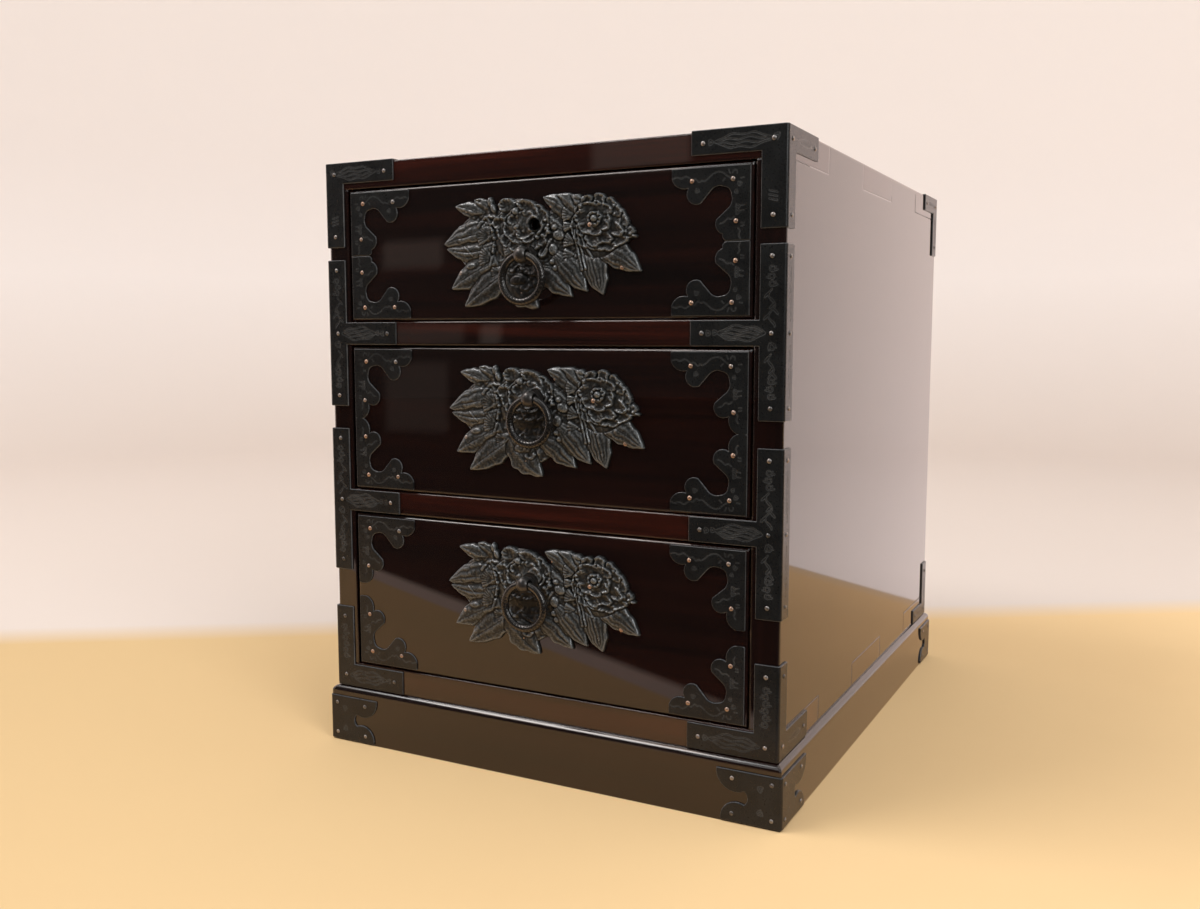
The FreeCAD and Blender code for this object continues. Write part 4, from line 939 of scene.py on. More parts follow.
    def bloom(self, centre, radius):
        out = self.away_from(centre)
        self.lay(radius - out, 1.9 + 2.4 * np.clip(1 - (out / radius) ** 2, 0, 1), 1.4)


LEAVES = [
    # base, tip, half breadth, bow of the midrib, ridges, rise
    ((-42.0, 24.8), (-68.5, 33.9), 5.9, 1.6, 3, 2.2),
    ((-35.2, 28.1), (-52.6, 37.6), 4.1, 1.2, 2, 1.8),
    ((-35.0, 14.7), (-77.6, 7.6), 10.6, 1.4, 5, 2.8),
    ((-35.3, 4.6), (-76.2, 4.6), 7.5, -3.2, 4, 2.3),
    ((-33.2, -5.5), (-72.0, -23.9), 9.6, 1.4, 3, 2.2),
    ((-23.1, -12.0), (-60.9, -36.4), 10.0, 0.6, 3, 2.4),
    ((-26.1, -11.7), (-0.2, -37.8), 11.0, -2.2, 3, 2.4),
    ((-1.7, -12.1), (26.7, -30.8), 7.8, 1.4, 4, 2.4),
    ((12.5, -2.6), (37.8, -27.5), 8.8, 1.2, 5, 2.8),
    ((39.1, 1.9), (49.7, -29.8), 9.5, -0.6, 7, 2.4),
    ((45.5, 2.8), (77.6, -14.9), 9.0, 1.4, 5, 2.8),
    ((27.0, 21.5), (3.7, 36.4), 7.2, 2.6, 4, 3.0),
    ((32.5, 24.0), (15.0, 37.6), 5.6, 2.2, 3, 3.4),
    ((20.5, 12.5), (6.0, 25.5), 4.2, -1.0, 3, 3.0),
    ((34.0, 27.0), (25.5, 37.4), 3.6, 1.2, 2, 3.8),
    ((57.4, 9.3), (74.7, 7.8), 3.2, 0.2, 2, 2.6),
]

PETALS = [
    # centre, half sizes, turn, height of the hollow, height of the rim
    ((-23.0, 32.4), (8.6, 5.0), -2, 3.2, 5.6),  # left bloom, outer
    ((-7.6, 30.6), (9.2, 4.9), -20, 3.2, 5.8),
    ((4.5, 24.1), (5.4, 4.4), -48, 3.4, 6.0),
    ((-31.2, 20.6), (5.6, 4.2), 0, 2.9, 4.6),
    ((-18.7, 22.1), (5.0, 3.8), -10, 3.0, 5.2),
    ((-10.1, 12.0), (7.2, 3.4), 4, 3.2, 5.6),
    ((3.2, 7.3), (5.2, 3.6), -40, 3.0, 5.6),
    ((-3.7, 19.2), (6.4, 6.0), 0, 4.4, 5.9),  # round the keyhole
    ((4.5, 1.3), (3.8, 6.6), -38, 2.2, 4.8),  # below the bloom
    ((-7.6, -9.9), (9.0, 5.6), -20, 2.3, 3.9),
    ((-10.1, -21.9), (5.4, 4.2), 0, 2.6, 4.0),
    ((-21.3, -9.0), (4.2, 5.0), 35, 2.2, 3.8),
    ((38.4, 32.6), (5.0, 3.4), 20, 3.4, 5.4),  # right bloom, rim petals
    ((47.4, 33.5), (4.6, 3.6), -5, 3.4, 5.4),
    ((55.2, 30.1), (4.8, 3.6), -30, 3.4, 5.4),
    ((60.3, 24.1), (4.4, 3.6), -50, 3.4, 5.4),
    ((65.0, 18.0), (4.4, 3.6), -50, 3.4, 5.4),
    ((69.3, 12.0), (4.4, 3.2), -40, 3.2, 5.2),
    ((63.3, 5.2), (6.0, 3.0), 12, 3.0, 5.0),
    ((55.2, 1.7), (5.6, 3.2), 8, 3.0, 5.0),
    ((38.8, 27.5), (7.0, 4.2), 4, 3.4, 6.2),  # inner petals
    ((52.6, 25.8), (5.4, 3.6), -28, 3.6, 6.2),
    ((59.5, 12.9), (7.2, 4.8), -30, 3.2, 6.4),
    ((33.2, 21.5), (4.0, 4.6), 10, 3.6, 6.0),
    ((37.5, 14.2), (5.6, 3.6), -20, 3.4, 6.2),
    ((42.3, 6.4), (6.6, 4.0), -36, 3.0, 5.8),
    ((52.6, 7.3), (5.6, 3.4), -16, 3.2, 6.0),
    ((51.3, 15.9), (4.6, 4.0), -30, 4.0, 6.6),
    ((44.4, 20.2), (5.6, 5.2), 0, 4.4, 6.2),  # heart
]

FANS = [
    # hub, radius, direction, half spread, ribs, height
    ((-38.1, 11.6), 10.8, 170, 52, 8, 3.9),
    ((-36.3, -3.4), 11.6, 166, 46, 8, 3.7),
    ((-17.4, 13.7), 10.4, 176, 38, 6, 4.2),
    ((-15.3, 2.6), 12.4, 170, 36, 7, 4.0),
    ((30.2, 23.2), 11.2, 176, 30, 5, 4.6),
    ((30.7, 16.8), 11.0, 184, 24, 4, 4.4),
    ((29.8, 4.7), 10.6, 162, 34, 5, 3.6),
    ((29.4, -2.6), 10.2, 176, 28, 4, 3.4),
    ((-29.9, -13.3), 8.6, 180, 34, 5, 3.0),
]

KNOBS = [
    # centre, half sizes, turn, height
    ((-38.2, 35.6), (2.2, 3.6), 10, 4.2),
    ((-35.6, 31.0), (2.2, 3.4), 20, 4.4),
    ((31.4, 35.0), (3.0, 2.2), -24, 5.2),
    ((35.6, 33.6), (2.2, 2.0), 0, 4.6),
    ((73.0, 7.9), (2.0, 1.3), -10, 4.6),
    ((-17.0, 27.9), (2.6, 2.6), 0, 6.0),
    ((-53.8, -8.0), (5.6, 2.7), 6, 3.8),
    ((-16.2, -18.5), (7.4, 4.2), 8, 4.0),
    ((-35.9, 15.5), (1.3, 1.3), 0, 4.6),
    ((-34.6, 10.5), (1.4, 1.4), 0, 4.7),
    ((-35.0, 5.5), (1.3, 1.3), 0, 4.6),
    ((-36.1, 1.1), (1.2, 1.2), 0, 4.4),
    ((-37.4, 20.2), (1.2, 1.2), 0, 4.4),
    ((16.5, 10.6), (4.6, 3.6), -20, 5.0),
    ((13.7, 15.9), (2.8, 2.2), 0, 4.8),
    ((11.8, 1.3), (3.4, 4.2), 10, 4.3),
    ((11.3, -6.9), (2.4, 2.0), 0, 4.2),
    ((13.7, -11.2), (2.6, 2.2), 0, 4.0),
    ((0.2, 9.7), (1.7, 1.5), 0, 5.2),
    ((4.5, 10.9), (1.7, 1.5), 0, 5.4),
    ((8.8, 12.9), (1.8, 1.6), 0, 5.2),
    ((-16.2, 17.2), (2.4, 1.6), 10, 5.0),
    ((44.4, 20.2), (2.7, 2.5), 0, 7.0),
]

RIBS = [
    # path, half width, rise
    ([(-47.4, 19.3), (-44.4, 23.5), (-40.2, 25.6), (-33.3, 24.4), (-25.6, 23.3)], 1.0, 1.3),
    ([(-41.0, 24.8), (-38.0, 19.7), (-35.9, 13.0), (-35.5, 5.5), (-37.2, -2.9), (-38.5, -8.0)], 0.8, 1.0),
    ([(29.2, 13.0), (29.9, 4.6), (32.1, -3.8), (34.2, -13.0)], 0.8, 1.5),
    ([(31.5, 12.6), (32.9, 3.8), (35.0, -5.5), (37.2, -12.2)], 0.7, 1.3),
    ([(33.8, 10.5), (36.3, 3.8), (39.3, -1.3), (41.9, -5.5)], 0.7, 1.2),
    ([(10.1, 7.7), (7.9, 3.9), (4.5, -1.3), (3.2, -3.9)], 0.9, 1.4),
    ([(-59.8, 5.5), (-56.4, 2.5), (-53.0, -0.8)], 0.5, 0.8),
    ([(-19.6, -12.5), (-17.9, -9.9), (-15.7, -8.6)], 0.7, 1.0),
]

PLATE_MASSES = [
    # centre and radius of the plain grounds between the forms
    ((-46.8, 7.8), 20.5), ((-31.2, -4.7), 19.5), ((-9.4, -9.4), 20.5), ((12.5, 1.6), 19.5),
    ((34.3, 0.0), 16.5), ((-37.4, 20.3), 10.5), ((18.7, 15.2), 15.5), ((29.5, 26.5), 9.8),
    ((-37.2, 28.5), 4.5),
]
BLOOMS = [((-15.6, 15.0), 21.5), ((45.5, 13.0), 19.5)]

RIGHT_RINGS = [
    # reach across and up, count, petal size, height of hollow and of rim
    (18.5, 14.5, 13, 5.2, 2.9, 5.2), (14.0, 11.2, 9, 5.2, 3.3, 5.8), (9.4, 7.8, 6, 4.8, 3.6, 6.2),
]
LEFT_RINGS = [
    (18.0, 14.5, 12, 5.4, 2.8, 5.0), (12.5, 10.0, 8, 5.4, 3.1, 5.6), (6.5, 6.0, 5, 4.6, 3.6, 5.9),
]


def smoothed(field, times):
    for _ in range(times):
        field = field.copy()
        field[1:-1] = (field[:-2] + 2 * field[1:-1] + field[2:]) / 4
        field[:, 1:-1] = (field[:, :-2] + 2 * field[:, 1:-1] + field[:, 2:]) / 4
    return field


def rolling(field, times):
    """Random unevenness, smooth over a few grid steps, about one high."""
    field = smoothed(field, times)
    return field / field.std()


def joined_points(open_points, start):
    """Grid points that join the starting ones through open ones."""
    found = start & open_points
    while True:
        grown = found.copy()
        grown[1:] |= found[:-1]
        grown[:-1] |= found[1:]
        grown[:, 1:] |= found[:, :-1]
        grown[:, :-1] |= found[:, 1:]
        grown &= open_points
        if (grown == found).all():
            return found
        found = grown


def chased_pattern():
    """The pattern that all three plates share."""
    relief = Relief()
    relief.height[:] = 1.1
    luck = np.random.default_rng(29)
    relief.coarse, relief.medium, fine = (
        rolling(luck.normal(size=relief.U.shape), times) for times in (60, 9, 2))
    grounds = [(centre, radius, 1.9) for centre, radius in PLATE_MASSES]
    layers = [(relief.leaf, LEAVES[:2]), (relief.disc, grounds), (relief.leaf, LEAVES[2:])]
    for draw, forms in [*layers, (relief.bloom, BLOOMS), (relief.fan, FANS)]:
        for form in forms:
            draw(*form)
    relief.flower((44.4, 20.2), (47.8, 16.4), RIGHT_RINGS, luck)
    relief.flower((-9.0, 19.5), (-12.6, 17.4), LEFT_RINGS, luck)
    heart = PETALS[-1][0]
    seeds = [((heart[0] + math.cos(angle) * 4.2, heart[1] + math.sin(angle) * 3.8), (0.95, 0.95), 0, 6.6)
             for angle in np.linspace(0, 2 * math.pi, 9, endpoint=False)]
    for draw, forms in [(relief.petal, PETALS), (relief.ridge, RIBS), (relief.knob, KNOBS + seeds)]:
        for form in forms:
            draw(*form)
    relief.height = smoothed(relief.height + 0.07 * relief.medium + 0.07 * fine, 1)
    frame = np.minimum(HALF_TALL - np.abs(relief.V), HALF_WIDE - np.abs(relief.U)) - 0.05
    relief.inside = np.minimum(relief.inside, frame)
    # loose islands go, and holes that don't reach the plate's border are filled
    whole = joined_points(relief.inside > 0, relief.inside == relief.inside.max())
    around = joined_points(~whole, np.pad(np.zeros_like(whole)[1:-1, 1:-1], 1, constant_values=True))
    relief.inside = np.where(whole, relief.inside, np.where(around, np.minimum(relief.inside, -0.1), 0.3))
    return relief


PATTERN = chased_pattern()
LOWEST, PROUDEST, RIM_LOW = 1.0, 6.95, 0.7
SEAT_HEIGHT, SEAT_RADIUS = 2.3, 6.1
KEYHOLE, KEYHOLE_RADIUS, SHANK_RADIUS = (3.5, 391.6), 4.2, 2.1


def eye_of(drawer):
    """The middle of a ring post's root, at the front."""
    low, high = node_box(f"{drawer}_drawer_ring_post")
    return np.array(((low[0] + high[0]) / 2, low[1], (low[2] + high[2]) / 2))


def chased_plate(drawer):
    """One drawer's plate, with a seat for the ring's post and holes for post and key."""
    low, high = node_box(f"{drawer}_drawer_relief_plate")
    middle, face = (low + high) / 2, high[1]
    plate = Relief()
    plate.inside = PATTERN.inside.copy()
    height = np.clip(PATTERN.height, LOWEST, PROUDEST)
    height = np.maximum(RIM_LOW, height - 0.9 * (np.clip(0.7 - plate.inside, 0, 0.7) / 0.7) ** 2)

    def away_from(place):
        return plate.away_from((place[0] - middle[0], place[-1] - middle[2]))

    eye = eye_of(drawer)
    seat = eased_step((away_from(eye) - SEAT_RADIUS) / 0.9)
    height = np.minimum(height, SEAT_HEIGHT + (height - SEAT_HEIGHT) * seat)
    holes = [(eye, SHANK_RADIUS)]
    if drawer == "top":
        holes.append((KEYHOLE, KEYHOLE_RADIUS))
    for place, radius in holes:
        out = away_from(place)
        height = height - 0.5 * bell(out, radius, 0.5)
        plate.inside = np.minimum(plate.inside, out - radius)
    # paler on sharp ridges and darker in fine hollows, as rubbing and patina leave it; the broad term is
    # painted shade on the low parts and painted light on the high ones
    curve, broad = (height - smoothed(height, times) for times in (5, 30))
    worn = np.clip(0.5 + curve * 1.4 + broad * 0.42, 0, 1)
    # painted shade: the plate is darker inside and under the ring, where the ring shades it
    ring_low, ring_high = node_box(f"{drawer}_drawer_ring_pull")
    plate.worn = worn * (0.3 + 0.7 * eased_step((away_from((ring_low + ring_high) / 2) - 13.0) / 6.0))
    plate.height, plate.rim_height = height, 0.55
    mesh = plate.mesh(lambda u, v, h: (middle[0] + u, face - h, middle[2] + v))
    piece = add_object(f"{drawer}_drawer_chased_plate", mesh, RELIEF_IRON)
    settle(piece, f"{drawer}_drawer", "relief_iron", f"{drawer}_drawer_relief_plate")


for drawer in DRAWERS:
    chased_plate(drawer)


# Lobed drawer corner irons: the outline as shares of the two arms, its edges bowed into arcs

CORNER_OUTLINE = [
    (0.0, 0.0), (1.0, 0.0), (0.79, 0.24), (0.63, 0.43), (0.49, 0.27),
    (0.34, 0.245), (0.245, 0.34), (0.27, 0.49), (0.43, 0.63), (0.24, 0.79), (0.0, 1.0),
]
CORNER_BOWS = {1: 0.32, 2: 0.38, 4: -0.14, 5: -0.2, 6: -0.14, 8: 0.38, 9: 0.32}
CORNER_ARM, CORNER_RISE, TOP_CORNER_RISE = 53.0, 52.0, 46.2
TRIM = 0.03


def bowed_outline(points, bows):
    """An outline whose numbered edges are arcs; a bow is the arc's rise over its chord."""
    points = np.asarray(points, float)
    found = []
    for number, (start, end) in enumerate(zip(points, np.roll(points, -1, axis=0))):
        if number not in bows:
            found.append(start)
            continue
        chord = end - start
        half = 2 * math.atan(2 * bows[number])
        right = np.array((chord[1], -chord[0]))
        radius = 0.5 / math.sin(half)
        centre = (start + end) / 2 - right * radius * math.cos(half)
        for angle in np.linspace(-half, half, 9)[:-1]:
            found.append(centre + radius * (right * math.cos(angle) + chord * math.sin(angle)))
    return np.array(found)


def corner_engraving():
    """Chiselled lines of one corner iron: a wave along the arm, curls and strokes up the side."""
    waves = [
        [(52, 6), (49.5, 5.2), (46.5, 6.3), (43.5, 5), (41, 6.2), (38.9, 7.6), (36.8, 7), (34.5, 9.2),
         (32.4, 8.2), (31, 8.8), (28.5, 7.4), (25.6, 4.9), (22, 3.6), (18.6, 4), (15.8, 6.2), (12.4, 8.4)],
        [(12, 4.6), (11, 3), (9.2, 3.4), (9, 5)],
        [(10.6, 31.6), (12.6, 33), (15, 32.4), (17.4, 34.6), (20, 35.4)],
        [(8.2, 38.6), (6.8, 40.6), (7.6, 43), (6.4, 45)],
    ]
    curls = [((7.2, 11.4), 2.4, 1.2), ((9.4, 16.2), 1.9, 0.2), ((8.6, 25.4), 2.7, math.pi),
             ((8.6, 28.6), 2.7, math.pi), ((35.6, 14.5), 2.4, -1.3)]
    lines = [flowing(wave) for wave in waves] + [line for given in curls for line in curl(*given)]
    return lines + strokes(
        [(4.4, 24.6), (6.2, 24.8)], [(4.4, 27.8), (6.2, 28)], [(4.2, 35.4), (6, 35.4)],
        [(4.2, 37), (6, 37.4)], [(4.6, 8), (6.6, 8.2)], [(14.5, 2.6), (13.6, 4.8)], [(17, 7.8), (18.4, 9.2)])


def drawer_corner_irons(drawer):
    """Four lobed irons: one drawn at the lower right, then mirrored across and up."""
    name = f"{drawer}_drawer_corner_irons"
    low, high = node_box(name)
    rise = TOP_CORNER_RISE if drawer == "top" else CORNER_RISE
    sheet = Sheet((-0.4, -0.4), (CORNER_ARM + 0.4, rise + 0.4), 0.3)
    outline = bowed_outline(np.array(CORNER_OUTLINE) * (CORNER_ARM, CORNER_RISE), CORNER_BOWS)
    sheet.inside = polygon_inside(sheet.U, sheet.V, outline) - TRIM
    if drawer == "top":
        # the shallow drawer's irons meet half way up, so their tips end square
        sheet.add_box((0, 34.0), (18.5, rise - TRIM), 3.0)
        sheet.add_box((0, 30.0), (9.0, rise - TRIM), 0.3)
        sheet.inside = np.minimum(sheet.inside, rise - TRIM - sheet.V)
    sheet.round_edges(high[1] - low[1], 0.45)
    sheet.engrave(corner_engraving(), 0.17, 0.13)
    base = sheet.mesh(lambda u, v, h: (high[0] - u, high[1] - h, low[2] + v), turned=True)
    mesh = with_mirror_image(with_mirror_image(base, X), Z, (low[2] + high[2]) / 2)
    add_iron(f"{drawer}_drawer_engraved_corners", mesh, f"{drawer}_drawer", name)


for drawer in DRAWERS:
    drawer_corner_irons(drawer)


# Plinth corner irons: two lobes with a crescent bitten out between them

IRON_LOW, IRON_HIGH = 1.0, 36.0
LOBE_BOWS = {1: 0.3, 2: -0.24, 3: 0.3}
LOBE_TIP, LOBE_NECK, NECK_LOW, NECK_HIGH = 0.93, 0.56, 0.36, 0.62


def lobed_end(reach):
    """The outline of one arm, from a little behind the corner to its two lobes."""
    rise, neck = IRON_HIGH - IRON_LOW, reach * LOBE_NECK
    return bowed_outline([
        (-4.0, IRON_LOW), (reach * LOBE_TIP, IRON_LOW), (neck, IRON_LOW + rise * NECK_LOW),
        (neck, IRON_LOW + rise * NECK_HIGH), (reach, IRON_HIGH), (-4.0, IRON_HIGH)], LOBE_BOWS)


def plinth_iron(front_reach, side_reach):
    front, side = along_front(front_reach), along_front(side_reach)
    sheet = Sheet((-side - 0.5, IRON_LOW - 0.5), (front + 0.5, IRON_HIGH + 0.5), 0.4)
    arms = [polygon_inside(way * sheet.U, sheet.V, lobed_end(arm)) for way, arm in ((1, front), (-1, side))]
    sheet.inside = np.maximum(*arms) - TRIM
    sheet.round_edges(IRON, 0.5)
    middle = (IRON_LOW + IRON_HIGH) / 2
    lines = curl((14, middle + 8), 3.2, 0.4) + curl((14, middle - 8), 3.2, -0.4)
    sheet.engrave(lines + [line * (-1, 1) for line in lines], 0.22, 0.12)
    return sheet.mesh(round_the_corner(PLINTH_HALF, PLINTH_FRONT), turned=True, folds=FOLD_LINES)


def add_plinth_pair(where, right):
    name = f"plinth_{where}_corners_engraved"
    add_iron(name, with_mirror_image(right, X), "case", f"plinth_{where}_corner_irons")


add_plinth_pair("front", plinth_iron(44.0, 50.0))
add_plinth_pair("rear", mirror_image(plinth_iron(40.0, 40.0), Y, (PLINTH_FRONT + PLINTH_BACK) / 2))


# Ring pulls: round bars chased with a row of small scrolls between two lines

RING_RADIUS, RING_BAR = 15.75, 2.73
SCROLLS = 40


def chased_ring(drawer):
    low, high = node_box(f"{drawer}_drawer_ring_pull")
    centre = (low + high) / 2
    turns = (np.linspace(0, 2 * math.pi, count, endpoint=False) for count in (432, 56))
    T, R = np.meshgrid(*turns, indexing="ij")
    # the bar is unrolled: cell runs along each scroll's length, w across it from the front line
    w = (np.mod(R + math.pi, 2 * math.pi) - math.pi) * RING_BAR
    pitch = 2 * math.pi * RING_RADIUS / SCROLLS
    cell = np.mod(T * RING_RADIUS, pitch) - pitch / 2
    scroll = np.abs(np.hypot(cell, w) - 0.78)
    hook = np.abs(np.hypot(cell - 0.25, np.abs(w) - 1.75) - 0.4)
    lines = np.minimum.reduce([scroll, np.abs(np.abs(w) - 2.7), hook])
    groove = bell(lines, 0, 0.2) * 0.14 * eased_step((1 - np.cos(T)) * 1.6 - 0.35)
    bar = np.minimum(RING_BAR - 0.03 + 0.03 * np.sin(T * 5 + 1.0) - groove, RING_BAR)
    out = RING_RADIUS + bar * np.sin(R)
    points = centre + np.stack([out * np.sin(T), -bar * np.cos(R), out * np.cos(T)], axis=-1)
    worn = np.clip(0.5 - groove * 3 + bell(lines, 0.42, 0.14) * 0.25, 0, 1).ravel()
    piece = add_object(f"{drawer}_ring_chased", looped_mesh(points, worn=worn), RING_IRON)
    settle(piece, f"{drawer}_ring", "ring_iron", f"{drawer}_drawer_ring_pull")


for drawer in DRAWERS:
    chased_ring(drawer)


# Nails: small hand-forged domes set where the working model's nails stand
# In metres: the breadth of the widest nail, how far from its axis only its head reaches, its head's height

WIDEST_NAIL, HEAD_BEYOND, HEAD_HEIGHT = 0.004, 0.0014, 0.0009


def separate_solids(name):
    """Corner points of each separate solid in a node."""
    form = bmesh.new()
    form.from_mesh(nodes[name].data)
    bmesh.ops.remove_doubles(form, verts=form.verts, dist=1e-6)
    seen, groups = set(), []
    for vertex in form.verts:
        stack, group = [vertex], []
        while stack:
            current = stack.pop()
            if current not in seen:
                seen.add(current)
                group.append(current.co[:])
                stack += [edge.other_vert(current) for edge in current.link_edges]
        if group:
            groups.append(np.array(group))
    form.free()
    return groups


def nail_places(name):
    """Where each nail's head sits and which way it faces; anything wider is passed over."""
    seats, facings = [], []
    for points in separate_solids(name):
        low, high = points.min(0), points.max(0)
        axis = int(np.argmax(high - low))
        across = [k for k in range(3) if k != axis]
        if (high - low)[across].max() > WIDEST_NAIL:
            continue
        seat, facing = (low + high) / 2, np.zeros(3)
        head = np.hypot(*(points - seat)[:, across].T) > HEAD_BEYOND
        facing[axis] = 1.0 if points[head, axis].mean() > seat[axis] else -1.0
        seat[axis] = (high if facing[axis] > 0 else low)[axis]
        seats.append(seat - facing * HEAD_HEIGHT)
        facings.append(facing)
    return np.array(seats), np.array(facings)


def nail_form():
    """One nail head: a hammered dome with a few flats and a turned-under rim."""
    rings = [(1.62, 0.0), (1.6, 0.16), (1.36, 0.42), (0.96, 0.68), (0.5, 0.83)]
    count = 12
    points, faces = [], []
    for number, (radius, up) in enumerate(rings):
        first = number * count
        for k in range(count):
            angle = 2 * math.pi * (k + 0.25 * (number % 2)) / count
            out = radius * (1 - 0.035 * ((k * 7 + number * 5) % 4) / 3)
            points.append((out * math.cos(angle), out * math.sin(angle), up))
            a, b = first + k, first + (k + 1) % count
            above = (b + count, a + count) if number < len(rings) - 1 else (len(rings) * count,)
            faces.append((a, b, *above))
    points.append((0, 0, 0.87))
    faces.append(tuple(reversed(range(count))))
    return bpy.data.objects.new("nail_form", new_mesh(points, faces))


def nail_tree(form, material):
    """Sets the nail form on every point, turned to face out, each a little different."""
    made = Graph(bpy.data.node_groups.new("set_nails", "GeometryNodeTree"))
    sides = made.tree.interface
    sides.new_socket(name="Places", in_out="INPUT", socket_type="NodeSocketGeometry")
    named = [sides.new_socket(name=name, in_out="INPUT", socket_type="NodeSocketFloat")
             for name in ("Smallest head", "Lean", "Greyest", "Reddest")]
    sides.new_socket(name="Nails", in_out="OUTPUT", socket_type="NodeSocketGeometry")
    given = made.node("NodeGroupInput").outputs

    def chance(low, high, seed):
        sockets = {2: low, 3: high, "Seed": seed}
        return made.node("FunctionNodeRandomValue", sockets, data_type="FLOAT").outputs[1]

    facing = made.node("GeometryNodeInputNamedAttribute", {"Name": "facing"}, data_type="FLOAT_VECTOR")
    bounds = {0: (-1, -1, -1), 1: (1, 1, 1), "Seed": 7}
    wobble = made.node("FunctionNodeRandomValue", bounds, data_type="FLOAT_VECTOR").outputs[0]
    lean = {0: wobble, "Scale": given["Lean"]}
    leaning = made.node("ShaderNodeVectorMath", lean, operation="SCALE").outputs[0]
    aim = {0: facing.outputs["Attribute"], 1: leaning}
    aimed = made.node("ShaderNodeVectorMath", aim, operation="ADD").outputs[0]
    upright = made.node("FunctionNodeAlignRotationToVector", {"Vector": aimed}, axis="Z").outputs[0]
    head = made.node("GeometryNodeObjectInfo", {"Object": form}).outputs["Geometry"]
    sockets = {"Points": given["Places"], "Instance": head, "Rotation": upright}
    sockets["Scale"] = chance(given["Smallest head"], 1.0, 3)
    nails = made.node("GeometryNodeInstanceOnPoints", sockets).outputs[0]
    sockets = {"Geometry": nails, "Name": "tone", "Value": chance(given["Greyest"], given["Reddest"], 11)}
    toned = made.node("GeometryNodeStoreNamedAttribute", sockets, data_type="FLOAT", domain="INSTANCE")
    real = made.node("GeometryNodeRealizeInstances", {"Geometry": toned.outputs[0]}).outputs[0]
    finished = made.node("GeometryNodeSetMaterial", {"Geometry": real, "Material": material}).outputs[0]
    made.node("NodeGroupOutput", {"Nails": finished})
    return made.tree, [socket.identifier for socket in named]


NAIL_TREE, NAIL_SOCKETS = nail_tree(nail_form(), NAIL_IRON)


def set_nails(name, body, node, greyest, reddest):
    """Runs the nail tree over a node's nails and keeps the result as a plain mesh."""
    seats, facings = nail_places(node)
    base = new_mesh(seats, [], smooth=False, unit=1)
    facing = base.attributes.new("facing", "FLOAT_VECTOR", "POINT")
    facing.data.foreach_set("vector", facings.astype(np.float32).ravel())
    holder = add_object(name, base, NAIL_IRON)
    modifier = holder.modifiers.new("set_nails", "NODES")
    modifier.node_group = NAIL_TREE
    for socket, value in zip(NAIL_SOCKETS, (0.9, 0.05, greyest, reddest)):
        modifier[socket] = value
    shown = holder.evaluated_get(bpy.context.evaluated_depsgraph_get())
    made = bpy.data.meshes.new_from_object(shown)
    holder.modifiers.remove(modifier)
    holder.data = made
    settle(holder, body, "nail_iron", node)


def add_washer(drawer):
    """The round washer behind the ring's post, inside the drawer front."""
    eye, inside = eye_of(drawer), node_box(f"{drawer}_drawer_front")[1][1]
    r, d = np.array([(2.1, 0.0), (6.2, 0.0), (6.5, 0.3), (6.5, 2.1), (6.1, 2.5), (2.1, 2.5)]).T
    turn = np.linspace(0, 2 * math.pi, 40, endpoint=False)[:, None]
    places = np.broadcast_arrays(eye[0] + r * np.sin(turn), inside + d, eye[2] + r * np.cos(turn))
    mesh = looped_mesh(np.stack(places, axis=-1), smooth=False)
    settle(add_object(f"{drawer}_drawer_washer", mesh, POST_IRON), f"{drawer}_drawer", "ring_iron")


set_nails("case_nails_forged", "case", "case_nails", 0.15, 0.6)
for drawer in DRAWERS:
    body = f"{drawer}_drawer"
    set_nails(f"{body}_nails_forged", body, f"{body}_fixings", 0.3, 1.0)
    add_washer(drawer)


# Stage: pale floor sweeping up into a pale wall, soft lamps, camera; lengths here are metres

# the floor is painted darker on the left and paler on the right: painted shade and light that even out the
# lamps' falloff
FLOOR_LEFT_PAINTED_SHADE, FLOOR_RIGHT_PAINTED_LIGHT, FLOOR_MOTTLE = (0.62, 0.44, 0.225), (0.93, 0.66, 0.36), (0.73, 0.5, 0.26)
FAR_PALE, WALL_PALE = (0.72, 0.63, 0.57), (0.86, 0.8, 0.77)
# painted reflections: colours that the sweep shows only in mirror rays
PAINTED_FLOOR_REFLECTION, PAINTED_WALL_REFLECTION = (0.98, 0.62, 0.31), (0.93, 0.79, 0.75)
PAINTED_MAT_EDGE_REFLECTION, PAINTED_DARK_ROOM_REFLECTION = (0.86, 0.68, 0.66), (0.024, 0.012, 0.011)
# slope and offset of two lines across the floor: past the chest's rear, past its front left corner
REAR_LINE, FRONT_LINE = (-0.659, -0.2974), (0.487, -0.4561)


